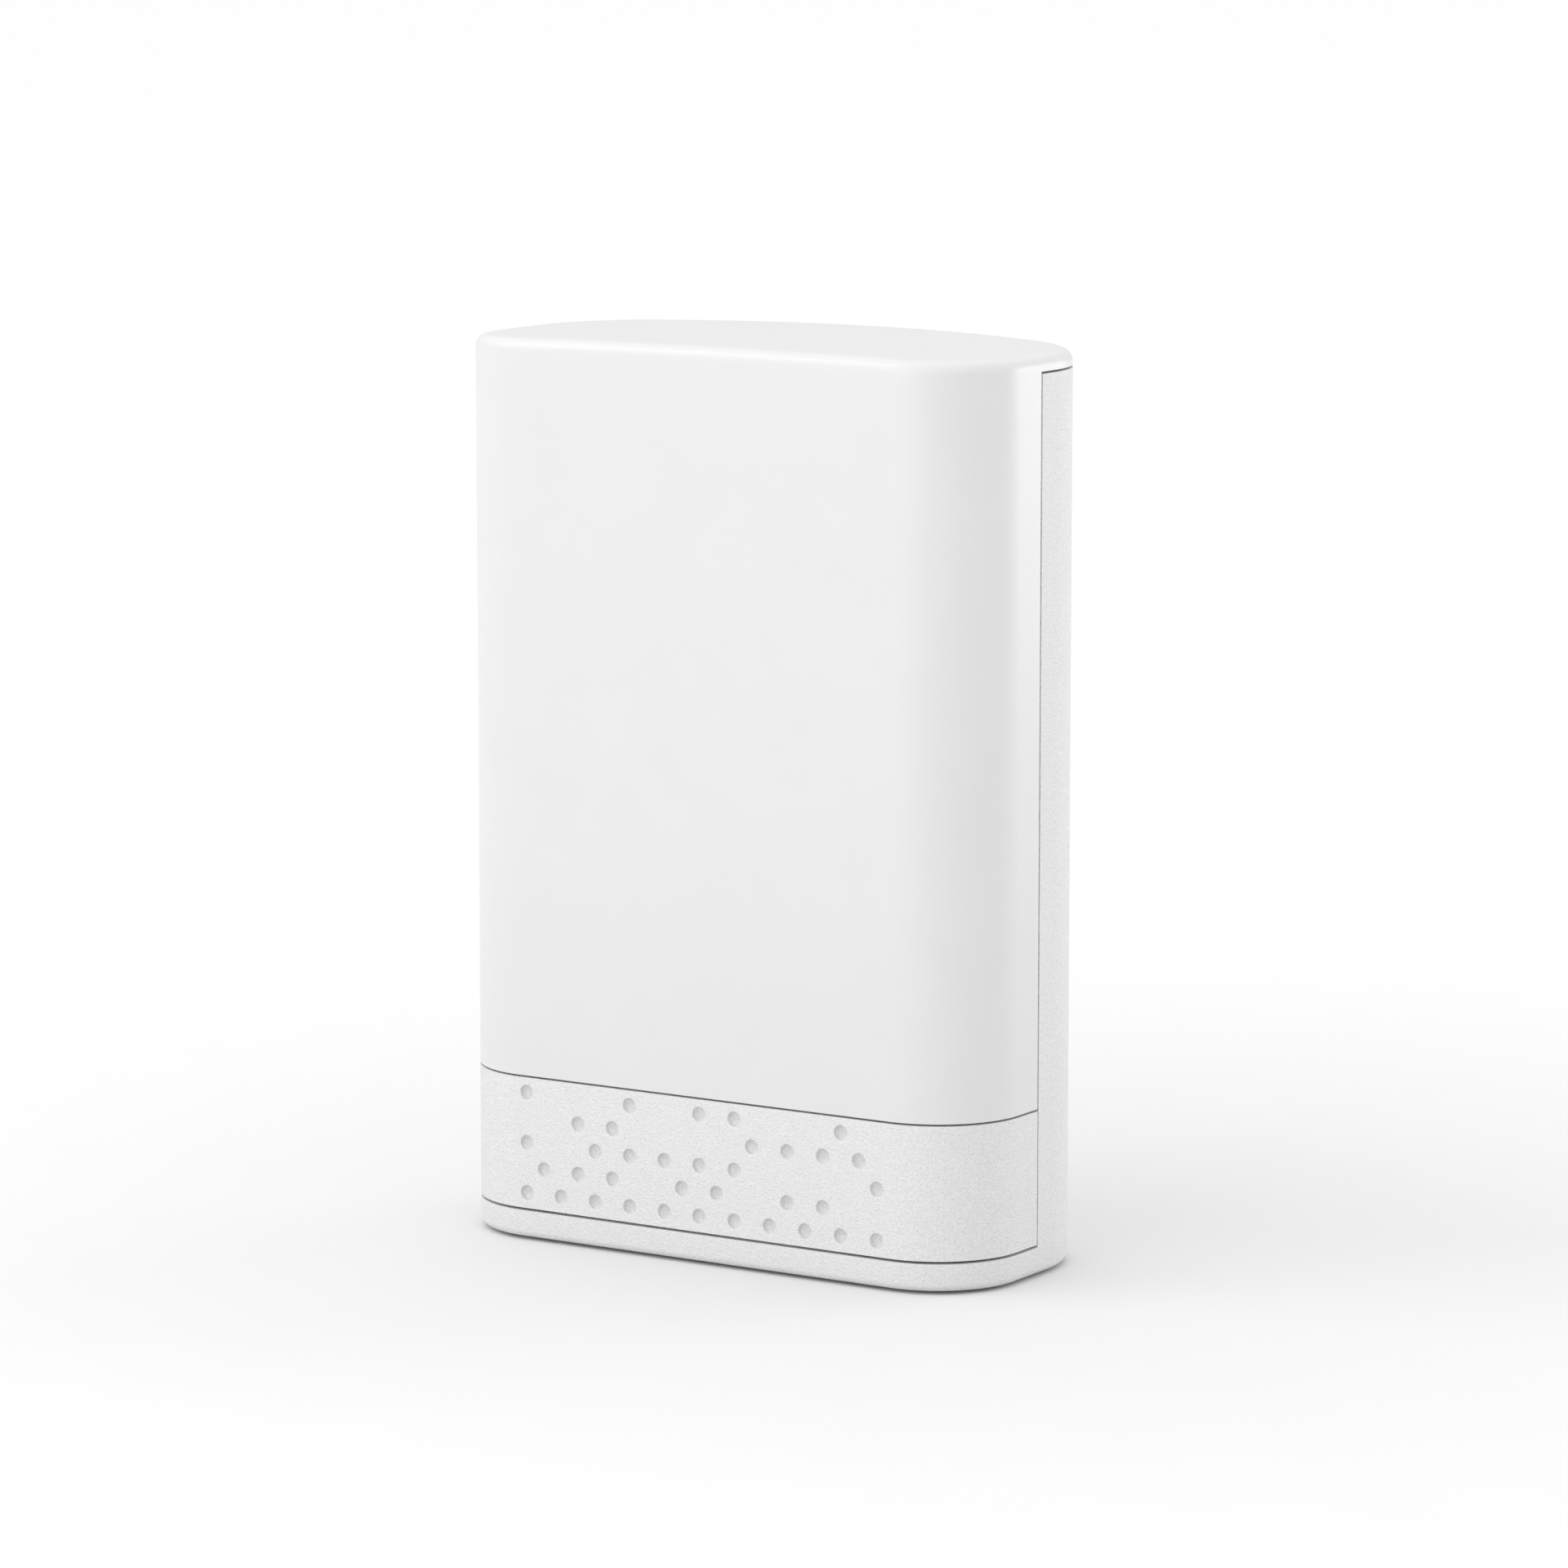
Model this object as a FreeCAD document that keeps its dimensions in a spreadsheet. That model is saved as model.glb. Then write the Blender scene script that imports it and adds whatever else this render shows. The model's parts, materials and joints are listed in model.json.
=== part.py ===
"""Upright home wireless router: a flat-fronted shell with rounded corners and a bowed back.

Frame: +X to the router's right seen from the front, +Y to the back, +Z up. The origin is under the middle
of the router, on the surface it stands on. Millimetres throughout.
"""

import FreeCAD
import Part
import math
import os
from types import SimpleNamespace

import Sketcher
from FreeCAD import Vector

doc = FreeCAD.newDocument("router")

# ---------------------------------------------------------------- driving dimensions
DIMENSIONS = [
    # the whole router
    ("width", 140.0),
    ("depth", 69.6),
    ("height", 206.3),
    ("foot_drop", 0.7),
    # its outline seen from above
    ("front_corner", 20.8),
    ("side_end", 35.6),
    ("back_corner", 26.8),
    # shells
    ("wall", 2.2),
    ("seam", 0.4),
    ("base_seam", 0.6),
    ("split_depth", 29.8),
    ("base_floor", 2.8),
    ("base_top", 7.0),
    ("band_top", 37.9),
    ("spine_top", 201.6),
    ("crown", 0.8),
    ("crown_round", 2.8),
    ("base_round", 1.8),
    # dimples in the band
    ("dimple_radius", 1.7),
    ("dimple_deep", 1.45),
    ("dimple_pitch", 9.35),
    ("dimple_row", 5.81),
    ("dimple_low", 11.2),
    ("dimple_shift", -0.5),
    # port recess in the back
    ("recess_width", 30.0),
    ("recess_low", 16.0),
    ("recess_high", 172.0),
    ("recess_depth", 7.5),
    # feet
    ("foot_radius", 5.0),
    ("foot_inset", 0.8),
    # circuit board, its back face and everything that stands on it
    ("board_width", 104.0),
    ("board_low", 14.0),
    ("board_high", 180.0),
    ("board_thick", 1.6),
    ("board_back", 10.3),
    ("chip_z", 110.0),
    # inner frame in front of the board
    ("frame_thick", 2.0),
    ("frame_gap", 4.4),
    ("frame_width", 123.2),
    ("frame_high", 196.0),
    # heights of the ports and keys
    ("power_z", 27.0),
    ("dc_z", 43.0),
    ("usb_z", 59.0),
    ("wan_z", 77.0),
    ("jack_pitch", 19.0),
    ("wps_z", 150.0),
    ("reset_z", 163.0),
    # travel of the keys, from rest to the stop
    ("power_travel", 1.5),
    ("wps_travel", 0.8),
    ("reset_travel", 0.5),
]

sheet = doc.addObject("Spreadsheet::Sheet", "dims")
for row, (alias, number) in enumerate(DIMENSIONS, start=1):
    sheet.set(f"A{row}", alias)
    sheet.set(f"B{row}", str(number))
    sheet.setAlias(f"B{row}", alias)
doc.recompute()


class Size:
    """A length that keeps both its number and the sheet expression that gives it."""

    def __init__(self, number, text):
        self.number = number
        self.text = text

    def __add__(self, other):
        other = size(other)
        return Size(self.number + other.number, f"({self.text} + {other.text})")

    def __sub__(self, other):
        other = size(other)
        return Size(self.number - other.number, f"({self.text} - {other.text})")

    def __mul__(self, factor):
        return Size(self.number * factor, f"({self.text} * {factor:g})")

    def __truediv__(self, factor):
        return Size(self.number / factor, f"({self.text} / {factor:g})")

    def __neg__(self):
        return Size(-self.number, f"(0 - {self.text})")

    def __radd__(self, other):
        return size(other) + self

    def __rsub__(self, other):
        return size(other) - self

    __rmul__ = __mul__


def size(value):
    """Any number as a Size."""
    return value if isinstance(value, Size) else Size(float(value), f"({value:g})")


d = SimpleNamespace(**{alias: Size(float(sheet.get(alias)), f"dims.{alias}") for alias, _ in DIMENSIONS})

# ---------------------------------------------------------------- places worked out from them
FRONT = -(d.depth / 2)
BACK = d.depth / 2
SPLIT = FRONT + d.split_depth
PANEL_OUT = BACK - d.recess_depth
PANEL_IN = PANEL_OUT - d.wall
BOARD_BACK = d.board_back
BOARD_FRONT = d.board_back - d.board_thick
FRAME_BACK = BOARD_FRONT - d.frame_gap
FRAME_FRONT = FRAME_BACK - d.frame_thick
FAR = size(100)

SUBPARTS = []


# ---------------------------------------------------------------- document helpers
def keep(thing, label):
    """Makes a document object a sub-part: its label names its file."""
    thing.Label = label
    SUBPARTS.append(thing)
    return thing


def bind(thing, **sizes):
    """Binds properties to the sheet; Base_x stands for Placement.Base.x."""
    for name, value in sizes.items():
        thing.setExpression(name.replace("Base_", "Placement.Base."), size(value).text)
    return thing


def box(name, x, y, z):
    """A Part::Box between the low and the high limit of each axis."""
    solid = doc.addObject("Part::Box", name)
    sides = [size(high) - size(low) for low, high in (x, y, z)]
    bind(solid, Length=sides[0], Width=sides[1], Height=sides[2])
    return bind(solid, Base_x=x[0], Base_y=y[0], Base_z=z[0])


def about(centre, width):
    """The two limits of a width laid out evenly about a centre."""
    return (size(centre) - size(width) / 2, size(centre) + size(width) / 2)


def rod(name, x, y, z, radius):
    """A Part::Cylinder along the one axis that is given as two limits."""
    solid = doc.addObject("Part::Cylinder", name)
    places = [x, y, z]
    along = next(i for i, place in enumerate(places) if isinstance(place, tuple))
    low, high = places[along]
    places[along] = low
    turns = [(0, 90, 0), (0, 0, -90), (0, 0, 0)]
    solid.Placement.Rotation = FreeCAD.Rotation(*turns[along])
    bind(solid, Radius=radius, Height=size(high) - size(low))
    return bind(solid, Base_x=places[0], Base_y=places[1], Base_z=places[2])


def fuse(name, solids):
    made = doc.addObject("Part::MultiFuse", name)
    made.Shapes = solids
    return made


def cut(name, base, tools):
    made = doc.addObject("Part::Cut", name)
    made.Base = base
    made.Tool = tools[0] if len(tools) == 1 else fuse(name + "_tools", tools)
    return made


def group(name, solids):
    """Separate solids that share one node."""
    made = doc.addObject("Part::Compound", name)
    made.Links = solids
    return made


def new_body(label):
    return keep(doc.addObject("PartDesign::Body", label), label)


def sketch_on(body, name, role="XY_Plane", level=0):
    """A sketch on one of the body's own planes, moved by level along +Z, +Y or +X."""
    made = body.newObject("Sketcher::SketchObject", name)
    plane = next(o for o in body.Origin.OriginFeatures if o.Role == role)
    made.AttachmentSupport = (plane, [""])
    made.MapMode = "FlatFace"
    shift = -size(level) if role == "XZ_Plane" else size(level)
    made.setExpression("AttachmentOffset.Base.z", shift.text)
    return made


ORIGIN = (-1, 1)
UPRIGHT = -2
START, END, MIDDLE = 1, 2, 3


def constrain(sketch, *facts, by=None):
    """Adds one constraint; by is the Size that it is bound to."""
    if by is not None:
        facts = (*facts, by.number)
    index = sketch.addConstraint(Sketcher.Constraint(*facts))
    if by is not None:
        sketch.setExpression(f"Constraints[{index}]", by.text)


def polygon(sketch, corners):
    """A closed line through corners, each an (x, y) pair measured from the sketch's origin."""
    corners = [(size(x), size(y)) for x, y in corners]
    points = [Vector(x.number, y.number) for x, y in corners]
    first = sketch.GeometryCount
    count = len(points)
    for a, b in zip(points, points[1:] + points[:1]):
        sketch.addGeometry(Part.LineSegment(a, b), False)
    for k in range(count):
        constrain(sketch, "Coincident", first + k, END, first + (k + 1) % count, START)
    for k, (x, y) in enumerate(corners):
        constrain(sketch, "DistanceX", *ORIGIN, first + k, START, by=x)
        constrain(sketch, "DistanceY", *ORIGIN, first + k, START, by=y)


def rectangle(sketch, across, up):
    """A rectangle between the two limits of each of its directions."""
    polygon(sketch, [(across[0], up[0]), (across[1], up[0]), (across[1], up[1]), (across[0], up[1])])


def circle(sketch, x, y, radius):
    """A circle by its centre and radius."""
    x, y, radius = size(x), size(y), size(radius)
    shape = Part.Circle(Vector(x.number, y.number), Vector(0, 0, 1), radius.number)
    index = sketch.addGeometry(shape, False)
    constrain(sketch, "DistanceX", *ORIGIN, index, MIDDLE, by=x)
    constrain(sketch, "DistanceY", *ORIGIN, index, MIDDLE, by=y)
    constrain(sketch, "Radius", index, by=radius)


def arc(centre, radius, start, end):
    return Part.ArcOfCircle(Part.Circle(Vector(*centre), Vector(0, 0, 1), radius), start, end)


def outline(sketch, inset):
    """The router's outline seen from above, moved inwards by inset: a flat front with round corners, straight
    sides, and a bowed back that runs into the sides through two larger arcs. Every join is tangent."""
    inset = size(inset)
    gap, half, back = inset.number, d.width.number / 2, d.depth.number / 2
    small, large = d.front_corner.number, d.back_corner.number
    front_c = (half - small, small - back)
    back_c = (half - large, d.side_end.number - back)
    drop = back_c[1] - back
    bow = (large**2 - back_c[0] ** 2 - drop**2) / (2 * (drop + large))
    lean = math.atan2(back_c[1] - (back - bow), back_c[0])
    quarter = math.pi / 2
    for piece in (
        Part.LineSegment(Vector(-front_c[0], gap - back), Vector(front_c[0], gap - back)),
        arc(front_c, small - gap, -quarter, 0),
        Part.LineSegment(Vector(half - gap, front_c[1]), Vector(half - gap, back_c[1])),
        arc(back_c, large - gap, 0, lean),
        arc((0, back - bow), bow - gap, lean, math.pi - lean),
        arc((-back_c[0], back_c[1]), large - gap, math.pi - lean, math.pi),
        Part.LineSegment(Vector(gap - half, back_c[1]), Vector(gap - half, front_c[1])),
        arc((-front_c[0], front_c[1]), small - gap, math.pi, math.pi + quarter),
    ):
        sketch.addGeometry(piece, False)
    for k in range(8):
        constrain(sketch, "Tangent", k, END, (k + 1) % 8, START)
    constrain(sketch, "Horizontal", 0)
    constrain(sketch, "Vertical", 2)
    constrain(sketch, "Vertical", 6)
    top = sketch.addGeometry(Part.Point(Vector(0, back - gap)), True)
    constrain(sketch, "PointOnObject", top, START, UPRIGHT)
    constrain(sketch, "PointOnObject", top, START, 4)
    constrain(sketch, "PointOnObject", 4, MIDDLE, UPRIGHT)
    constrain(sketch, "DistanceY", *ORIGIN, top, START, by=BACK - inset)
    constrain(sketch, "DistanceX", *ORIGIN, 2, START, by=d.width / 2 - inset)
    constrain(sketch, "DistanceX", *ORIGIN, 6, START, by=inset - d.width / 2)
    constrain(sketch, "DistanceY", *ORIGIN, 0, START, by=FRONT + inset)
    for corner, radius in ((1, d.front_corner), (7, d.front_corner), (3, d.back_corner), (5, d.back_corner)):
        constrain(sketch, "Radius", corner, by=radius - inset)
    constrain(sketch, "DistanceY", *ORIGIN, 3, MIDDLE, by=FRONT + d.side_end)


def pad(body, sketch, length):
    made = body.newObject("PartDesign::Pad", sketch.Name + "_pad")
    made.Profile = sketch
    made.setExpression("Length", size(length).text)
    return made


def pocket(body, sketch, length):
    """Cuts length deep from a sketch: down on XY, towards +Y on XZ. A cut that removes nothing fails."""
    doc.recompute()
    before = body.Shape.Volume
    made = body.newObject("PartDesign::Pocket", sketch.Name + "_pocket")
    made.Profile = sketch
    made.setExpression("Length", size(length).text)
    doc.recompute()
    if not body.Shape.Volume < before - 1e-6:
        raise RuntimeError(f"{made.Name} cuts nothing")
    return made


def pad_between(body, name, low, high, draw, role="XY_Plane"):
    """A pad between two levels of a plane, of the profile that draw puts in its sketch."""
    sketch = sketch_on(body, name, role, high if role == "XZ_Plane" else low)
    draw(sketch)
    return pad(body, sketch, size(high) - size(low))


def cut_between(body, name, low, high, draw, role="XY_Plane"):
    """A pocket between two levels of a plane, of the profile that draw puts in its sketch."""
    sketch = sketch_on(body, name, role, low if role == "XZ_Plane" else high)
    draw(sketch)
    return pocket(body, sketch, size(high) - size(low))


def round_edges(body, feature, test, radius):
    """Rounds the edges of a feature whose every sampled point passes the test."""
    doc.recompute()
    names = []
    for number, edge in enumerate(feature.Shape.Edges, start=1):
        if all(test(point) for point in edge.discretize(5)):
            names.append(f"Edge{number}")
    made = body.newObject("PartDesign::Fillet", feature.Name + "_round")
    made.Base = (feature, names)
    made.setExpression("Radius", radius.text)
    doc.recompute()


# ---------------------------------------------------------------- shells
CLIP_LEVELS = (60, 120, 180)
CLIP_HIGH = 8
TONGUE_WIDE = 80
TONGUE_THICK = 1.2
TONGUE_GAP = 0.15


# Snap arms and lips at the sides: distances in from the side face, then along Y from the split.
INTO_WALL = 0.5
ARM_IN, ARM_OUT, BARB_OUT = 5.6, 4.4, 2.8
ARM_ROOT_FRONT, ARM_ROOT_BACK = 6.5, 4.5
BARB_FRONT, BARB_BACK = 3.4, 4.6
LIP_IN, LIP_OUT = 3.6, 2.4
LIP_REACH = 3


def side_clip_arm():
    """Corners of one snap arm of the cover on the right side, seen from above."""
    side = d.width / 2
    wall_in = side - d.wall + INTO_WALL
    return [
        (side - ARM_IN, SPLIT - ARM_ROOT_FRONT),
        (wall_in, SPLIT - ARM_ROOT_FRONT),
        (wall_in, SPLIT - ARM_ROOT_BACK),
        (side - ARM_OUT, SPLIT - ARM_ROOT_BACK),
        (side - ARM_OUT, SPLIT + BARB_FRONT),
        (side - BARB_OUT, SPLIT + BARB_FRONT),
        (side - BARB_OUT, SPLIT + BARB_BACK),
        (side - ARM_IN, SPLIT + BARB_BACK),
    ]


def side_lip():
    """Corners of the housing's inner lip on the right side, which the cover's barbs catch behind."""
    side = d.width / 2
    wall_in = side - d.wall + INTO_WALL
    return [
        (side - LIP_IN, SPLIT - LIP_REACH),
        (side - LIP_OUT, SPLIT - LIP_REACH),
        (side - LIP_OUT, SPLIT),
        (wall_in, SPLIT),
        (wall_in, SPLIT + LIP_REACH),
        (side - LIP_IN, SPLIT + LIP_REACH),
    ]


def mirrored(corners):
    return [(-x, y) for x, y in reversed(corners)]


def upright_tongue(body, name, root_low, root_high, tip):
    """A tongue along the front wall: rooted in the wall up to root_high, and free from there up to tip."""
    inner = FRONT + d.wall
    corners = [
        (inner - INTO_WALL, root_low),
        (inner + TONGUE_GAP + TONGUE_THICK, root_low),
        (inner + TONGUE_GAP + TONGUE_THICK, tip),
        (inner + TONGUE_GAP, tip),
        (inner + TONGUE_GAP, root_high),
        (inner - INTO_WALL, root_high),
    ]
    half = size(TONGUE_WIDE) / 2
    pad_between(body, name, -half, half, lambda s: polygon(s, corners), "YZ_Plane")


WASTE_REACH = 1.05
WASTE_HIGH = 2


def crown_waste(sketch):
    """What lies above the cover's top: one long arc from side to side that drops by the crown at the ends."""
    half, drop = d.width.number / 2, d.crown.number
    reach = WASTE_REACH * half
    bend = (half**2 + drop**2) / (2 * drop)
    centre = (0, d.height.number - bend)
    lean = math.acos(reach / bend)
    end = Vector(reach, centre[1] + bend * math.sin(lean))
    lid = d.height.number + WASTE_HIGH
    sketch.addGeometry(arc(centre, bend, lean, math.pi - lean), False)
    sketch.addGeometry(Part.LineSegment(Vector(-end.x, end.y), Vector(-reach, lid)), False)
    sketch.addGeometry(Part.LineSegment(Vector(-reach, lid), Vector(reach, lid)), False)
    sketch.addGeometry(Part.LineSegment(Vector(reach, lid), end), False)
    for k in range(4):
        after = (k + 1) % 4
        constrain(sketch, "Coincident", k, END, after, START)
    constrain(sketch, "Vertical", 1)
    constrain(sketch, "Horizontal", 2)
    constrain(sketch, "Vertical", 3)
    constrain(sketch, "PointOnObject", 0, MIDDLE, UPRIGHT)
    bend_text = "((dims.width^2 / 4 + dims.crown^2) / (2 * dims.crown))"
    constrain(sketch, "Radius", 0, by=Size(bend, bend_text))
    constrain(sketch, "DistanceY", *ORIGIN, 0, MIDDLE, by=d.height - Size(bend, bend_text))
    constrain(sketch, "DistanceX", *ORIGIN, 3, START, by=d.width / 2 * WASTE_REACH)
    constrain(sketch, "DistanceX", *ORIGIN, 1, START, by=-(d.width / 2 * WASTE_REACH))
    constrain(sketch, "DistanceY", *ORIGIN, 3, START, by=d.height + WASTE_HIGH)


def make_front_cover():
    """The smooth cover: front, sides up to the split, and the whole top."""
    body = new_body("front_cover")
    low = d.band_top + d.seam
    pad_between(body, "cover_outer", low, d.height, lambda s: outline(s, 0))
    level = d.height.number
    crowned = cut_between(body, "cover_crown", -FAR, FAR, crown_waste, "XZ_Plane")
    round_edges(body, crowned, lambda p: p.z > level - 2, d.crown_round)
    ceiling = d.height - d.crown - d.wall
    cut_between(body, "cover_hollow", low, ceiling, lambda s: outline(s, d.wall))
    behind = (SPLIT - d.seam, FAR)
    cut_between(body, "cover_back", low, d.spine_top + d.seam, lambda s: rectangle(s, (-FAR, FAR), behind))
    for n, level in enumerate(CLIP_LEVELS):
        for side, corners in (("right", side_clip_arm()), ("left", mirrored(side_clip_arm()))):
            name = f"cover_clip_{side}_{n}"
            limits = (size(level) - CLIP_HIGH / 2, size(level) + CLIP_HIGH / 2)
            pad_between(body, name, *limits, lambda s, c=corners: polygon(s, c))


# Which places of the dimple lattice are filled, row by row from the bottom, in pitches from the left.
DIMPLE_ROWS = (
    (0, 1, 2, 3, 4, 5, 6, 7, 8, 9, 10),
    (0.5, 1.5, 2.5, 4.5, 5.5, 7.5, 8.5),
    (0, 2, 3, 4, 5, 6, 10),
    (1.5, 2.5, 6.5, 7.5, 8.5, 9.5),
    (0, 3, 5, 6, 9),
)
LATTICE_MIDDLE = 5


def make_front_band():
    """The grained band under the cover, with a scatter of round dimples on a staggered lattice."""
    body = doc.addObject("PartDesign::Body", "band_shell")
    low = d.base_top + d.base_seam
    pad_between(body, "band_outer", low, d.band_top, lambda s: outline(s, 0))
    cut_between(body, "band_hollow", low, d.band_top, lambda s: outline(s, d.wall))
    behind = (SPLIT - d.seam, FAR)
    cut_between(body, "band_back", low, d.band_top, lambda s: rectangle(s, (-FAR, FAR), behind))
    upright_tongue(body, "band_tongue", d.band_top - 6, d.band_top - 0.5, d.band_top + 3)
    ball_radius = "(dims.dimple_radius^2 + dims.dimple_deep^2) / (2 * dims.dimple_deep)"
    balls = []
    for row, places in enumerate(DIMPLE_ROWS):
        for place in places:
            ball = doc.addObject("Part::Sphere", f"dimple_{row}_{int(2 * place)}")
            ball.setExpression("Radius", ball_radius)
            ball.setExpression("Placement.Base.y", f"dims.dimple_deep - dims.depth / 2 - {ball_radius}")
            across = d.dimple_shift + d.dimple_pitch * (place - LATTICE_MIDDLE)
            bind(ball, Base_x=across, Base_z=d.dimple_low + d.dimple_row * row)
            balls.append(ball)
    band = doc.addObject("Part::Cut", "front_band")
    band.Base = body
    band.Tool = group("dimples", balls)
    keep(band, "front_band")


# Port openings in the panel. Clear widths and heights, with a little room round each socket.
JACK_WIDE, JACK_HIGH = 15.8, 13.4
USB_WIDE, USB_HIGH = 13.2, 5.8
DC_WIDE, DC_HIGH = 9.4, 11.4
POWER_WIDE, POWER_HIGH = 9.6, 6.6
WPS_RADIUS = 3.0
PORT_ROOM = 0.3
RESET_HOLE = 1.0
JACK_NAMES = ("wan_jack", "lan_jack_1", "lan_jack_2", "lan_jack_3")
FOOT_PLACES = ((-46, -20), (46, -20), (40, 19), (-40, 19))
CASE_SCREW_X = 25
CASE_SCREW_Y = 0
CASE_HEAD_RADIUS = 2.6
CASE_SHANK_RADIUS = 1.45
SCREW_ROOM = 0.25
HEAD_LEVEL = d.foot_drop + 1.2


def jack_height(n):
    return d.wan_z + d.jack_pitch * n


def panel_openings(sketch):
    """Every opening of the port panel, from the power key at the bottom to the reset hole."""
    room = 2 * PORT_ROOM
    rectangle(sketch, about(0, POWER_WIDE + room), about(d.power_z, POWER_HIGH + room))
    rectangle(sketch, about(0, DC_WIDE + room), about(d.dc_z, DC_HIGH + room))
    rectangle(sketch, about(0, USB_WIDE + room), about(d.usb_z, USB_HIGH + room))
    for n in range(len(JACK_NAMES)):
        rectangle(sketch, about(0, JACK_WIDE + room), about(jack_height(n), JACK_HIGH + room))
    circle(sketch, 0, d.wps_z, WPS_RADIUS + PORT_ROOM)
    circle(sketch, 0, d.reset_z, RESET_HOLE)


BACK_VENT_COUNT, BACK_VENT_PITCH = 5, 3.4
BACK_VENT_WIDE, BACK_VENT_HIGH = 44, 1.6
BACK_VENT_ABOVE = 6.5
BASE_VENT_COUNT, BASE_VENT_PITCH = 7, 6
BASE_VENT_WIDE, BASE_VENT_LONG = 2.2, 14
BASE_VENT_ROWS = (-12, 14)


def back_vents(sketch):
    """Level slots above the port recess."""
    for n in range(BACK_VENT_COUNT):
        level = d.recess_high + BACK_VENT_ABOVE + BACK_VENT_PITCH * n
        rectangle(sketch, about(0, BACK_VENT_WIDE), about(level, BACK_VENT_HIGH))


def base_vents(sketch):
    """Two rows of slots in the base, either side of the middle."""
    for n in range(BASE_VENT_COUNT):
        across = BASE_VENT_PITCH * (n - (BASE_VENT_COUNT - 1) / 2)
        for row in BASE_VENT_ROWS:
            rectangle(sketch, about(across, BASE_VENT_WIDE), about(row, BASE_VENT_LONG))


# The recess walls end inside the bowed back, this far under its crest.
WALLS_UNDER_BACK = 1.9


def make_rear_housing():
    """The grained housing in one piece: bowed back with its sides, and the base under everything."""
    body = new_body("rear_housing")
    outer = pad_between(body, "housing_outer", d.foot_drop, d.spine_top, lambda s: outline(s, 0))
    level = d.foot_drop.number
    round_edges(body, outer, lambda p: abs(p.z - level) < 1e-4, d.base_round)
    cut_between(body, "housing_hollow", d.base_floor, d.spine_top, lambda s: outline(s, d.wall))
    before = (-FAR, SPLIT)
    cut_between(body, "housing_front", d.base_top, d.spine_top, lambda s: rectangle(s, (-FAR, FAR), before))

    def recess_walls(sketch):
        limits = (d.recess_low - d.wall, d.recess_high + d.wall)
        rectangle(sketch, about(0, d.recess_width + 2 * d.wall), limits)

    def recess(sketch):
        rectangle(sketch, about(0, d.recess_width), (d.recess_low, d.recess_high))

    pad_between(body, "recess_walls", PANEL_IN, BACK - WALLS_UNDER_BACK, recess_walls, "XZ_Plane")
    cut_between(body, "recess", PANEL_OUT, BACK + 1, recess, "XZ_Plane")
    cut_between(body, "ports", PANEL_IN - 1, PANEL_OUT + 1, panel_openings, "XZ_Plane")
    cut_between(body, "vents_back", BACK - 5, BACK + 1, back_vents, "XZ_Plane")
    cut_between(body, "vents_base", 0, d.base_floor + 1, base_vents)
    root = d.base_floor - INTO_WALL
    for side, corners in (("right", side_lip()), ("left", mirrored(side_lip()))):
        pad_between(body, f"lip_{side}", root, d.spine_top, lambda s, c=corners: polygon(s, c))
    upright_tongue(body, "base_tongue", root, d.base_top - 0.5, d.base_top + 4)
    sketch = sketch_on(body, "foot_wells", "XY_Plane", d.foot_drop + d.foot_inset)
    for x, y in FOOT_PLACES:
        circle(sketch, x, y, d.foot_radius + 0.2)
    pocket(body, sketch, d.foot_inset + 1)
    sketch = sketch_on(body, "screw_wells", "XY_Plane", HEAD_LEVEL)
    for side in (-1, 1):
        circle(sketch, side * CASE_SCREW_X, CASE_SCREW_Y, CASE_HEAD_RADIUS + SCREW_ROOM)
    pocket(body, sketch, 2)
    sketch = sketch_on(body, "screw_holes", "XY_Plane", d.base_floor + 1)
    for side in (-1, 1):
        circle(sketch, side * CASE_SCREW_X, CASE_SCREW_Y, CASE_SHANK_RADIUS + SCREW_ROOM)
    pocket(body, sketch, 4)


def make_feet():
    """Four soft discs let into the base."""
    discs = []
    for n, (x, y) in enumerate(FOOT_PLACES):
        discs.append(rod(f"foot_{n}", x, y, (0, d.foot_drop + d.foot_inset), d.foot_radius))
    keep(group("rubber_feet", discs), "rubber_feet")


def make_rating_label():
    """A blank sticker on the base, between the feet."""
    top = d.foot_drop
    keep(box("rating_label", (-20, 20), (-32, -22), (top - 0.15, top)), "rating_label")


# ---------------------------------------------------------------- inner frame
WINDOW_HALF = 40
WINDOW_LOW, WINDOW_HIGH = 40, 176
WING_THICK = 1.6
WING_LOW = 44
WING_FRONT = 14
BOSS_RADIUS = 3.2
BOARD_SCREW_RADIUS = 1.25
BOARD_SCREW_PLACES = ((-46, 22), (46, 22), (46, 172), (-46, 172))
FRAME_FOOT_HIGH = 6
FRAME_GAP_LOW = 0.1
LAMP_Z = 20
GUIDE_NECK = 27
GUIDE_THICK = 3


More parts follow.
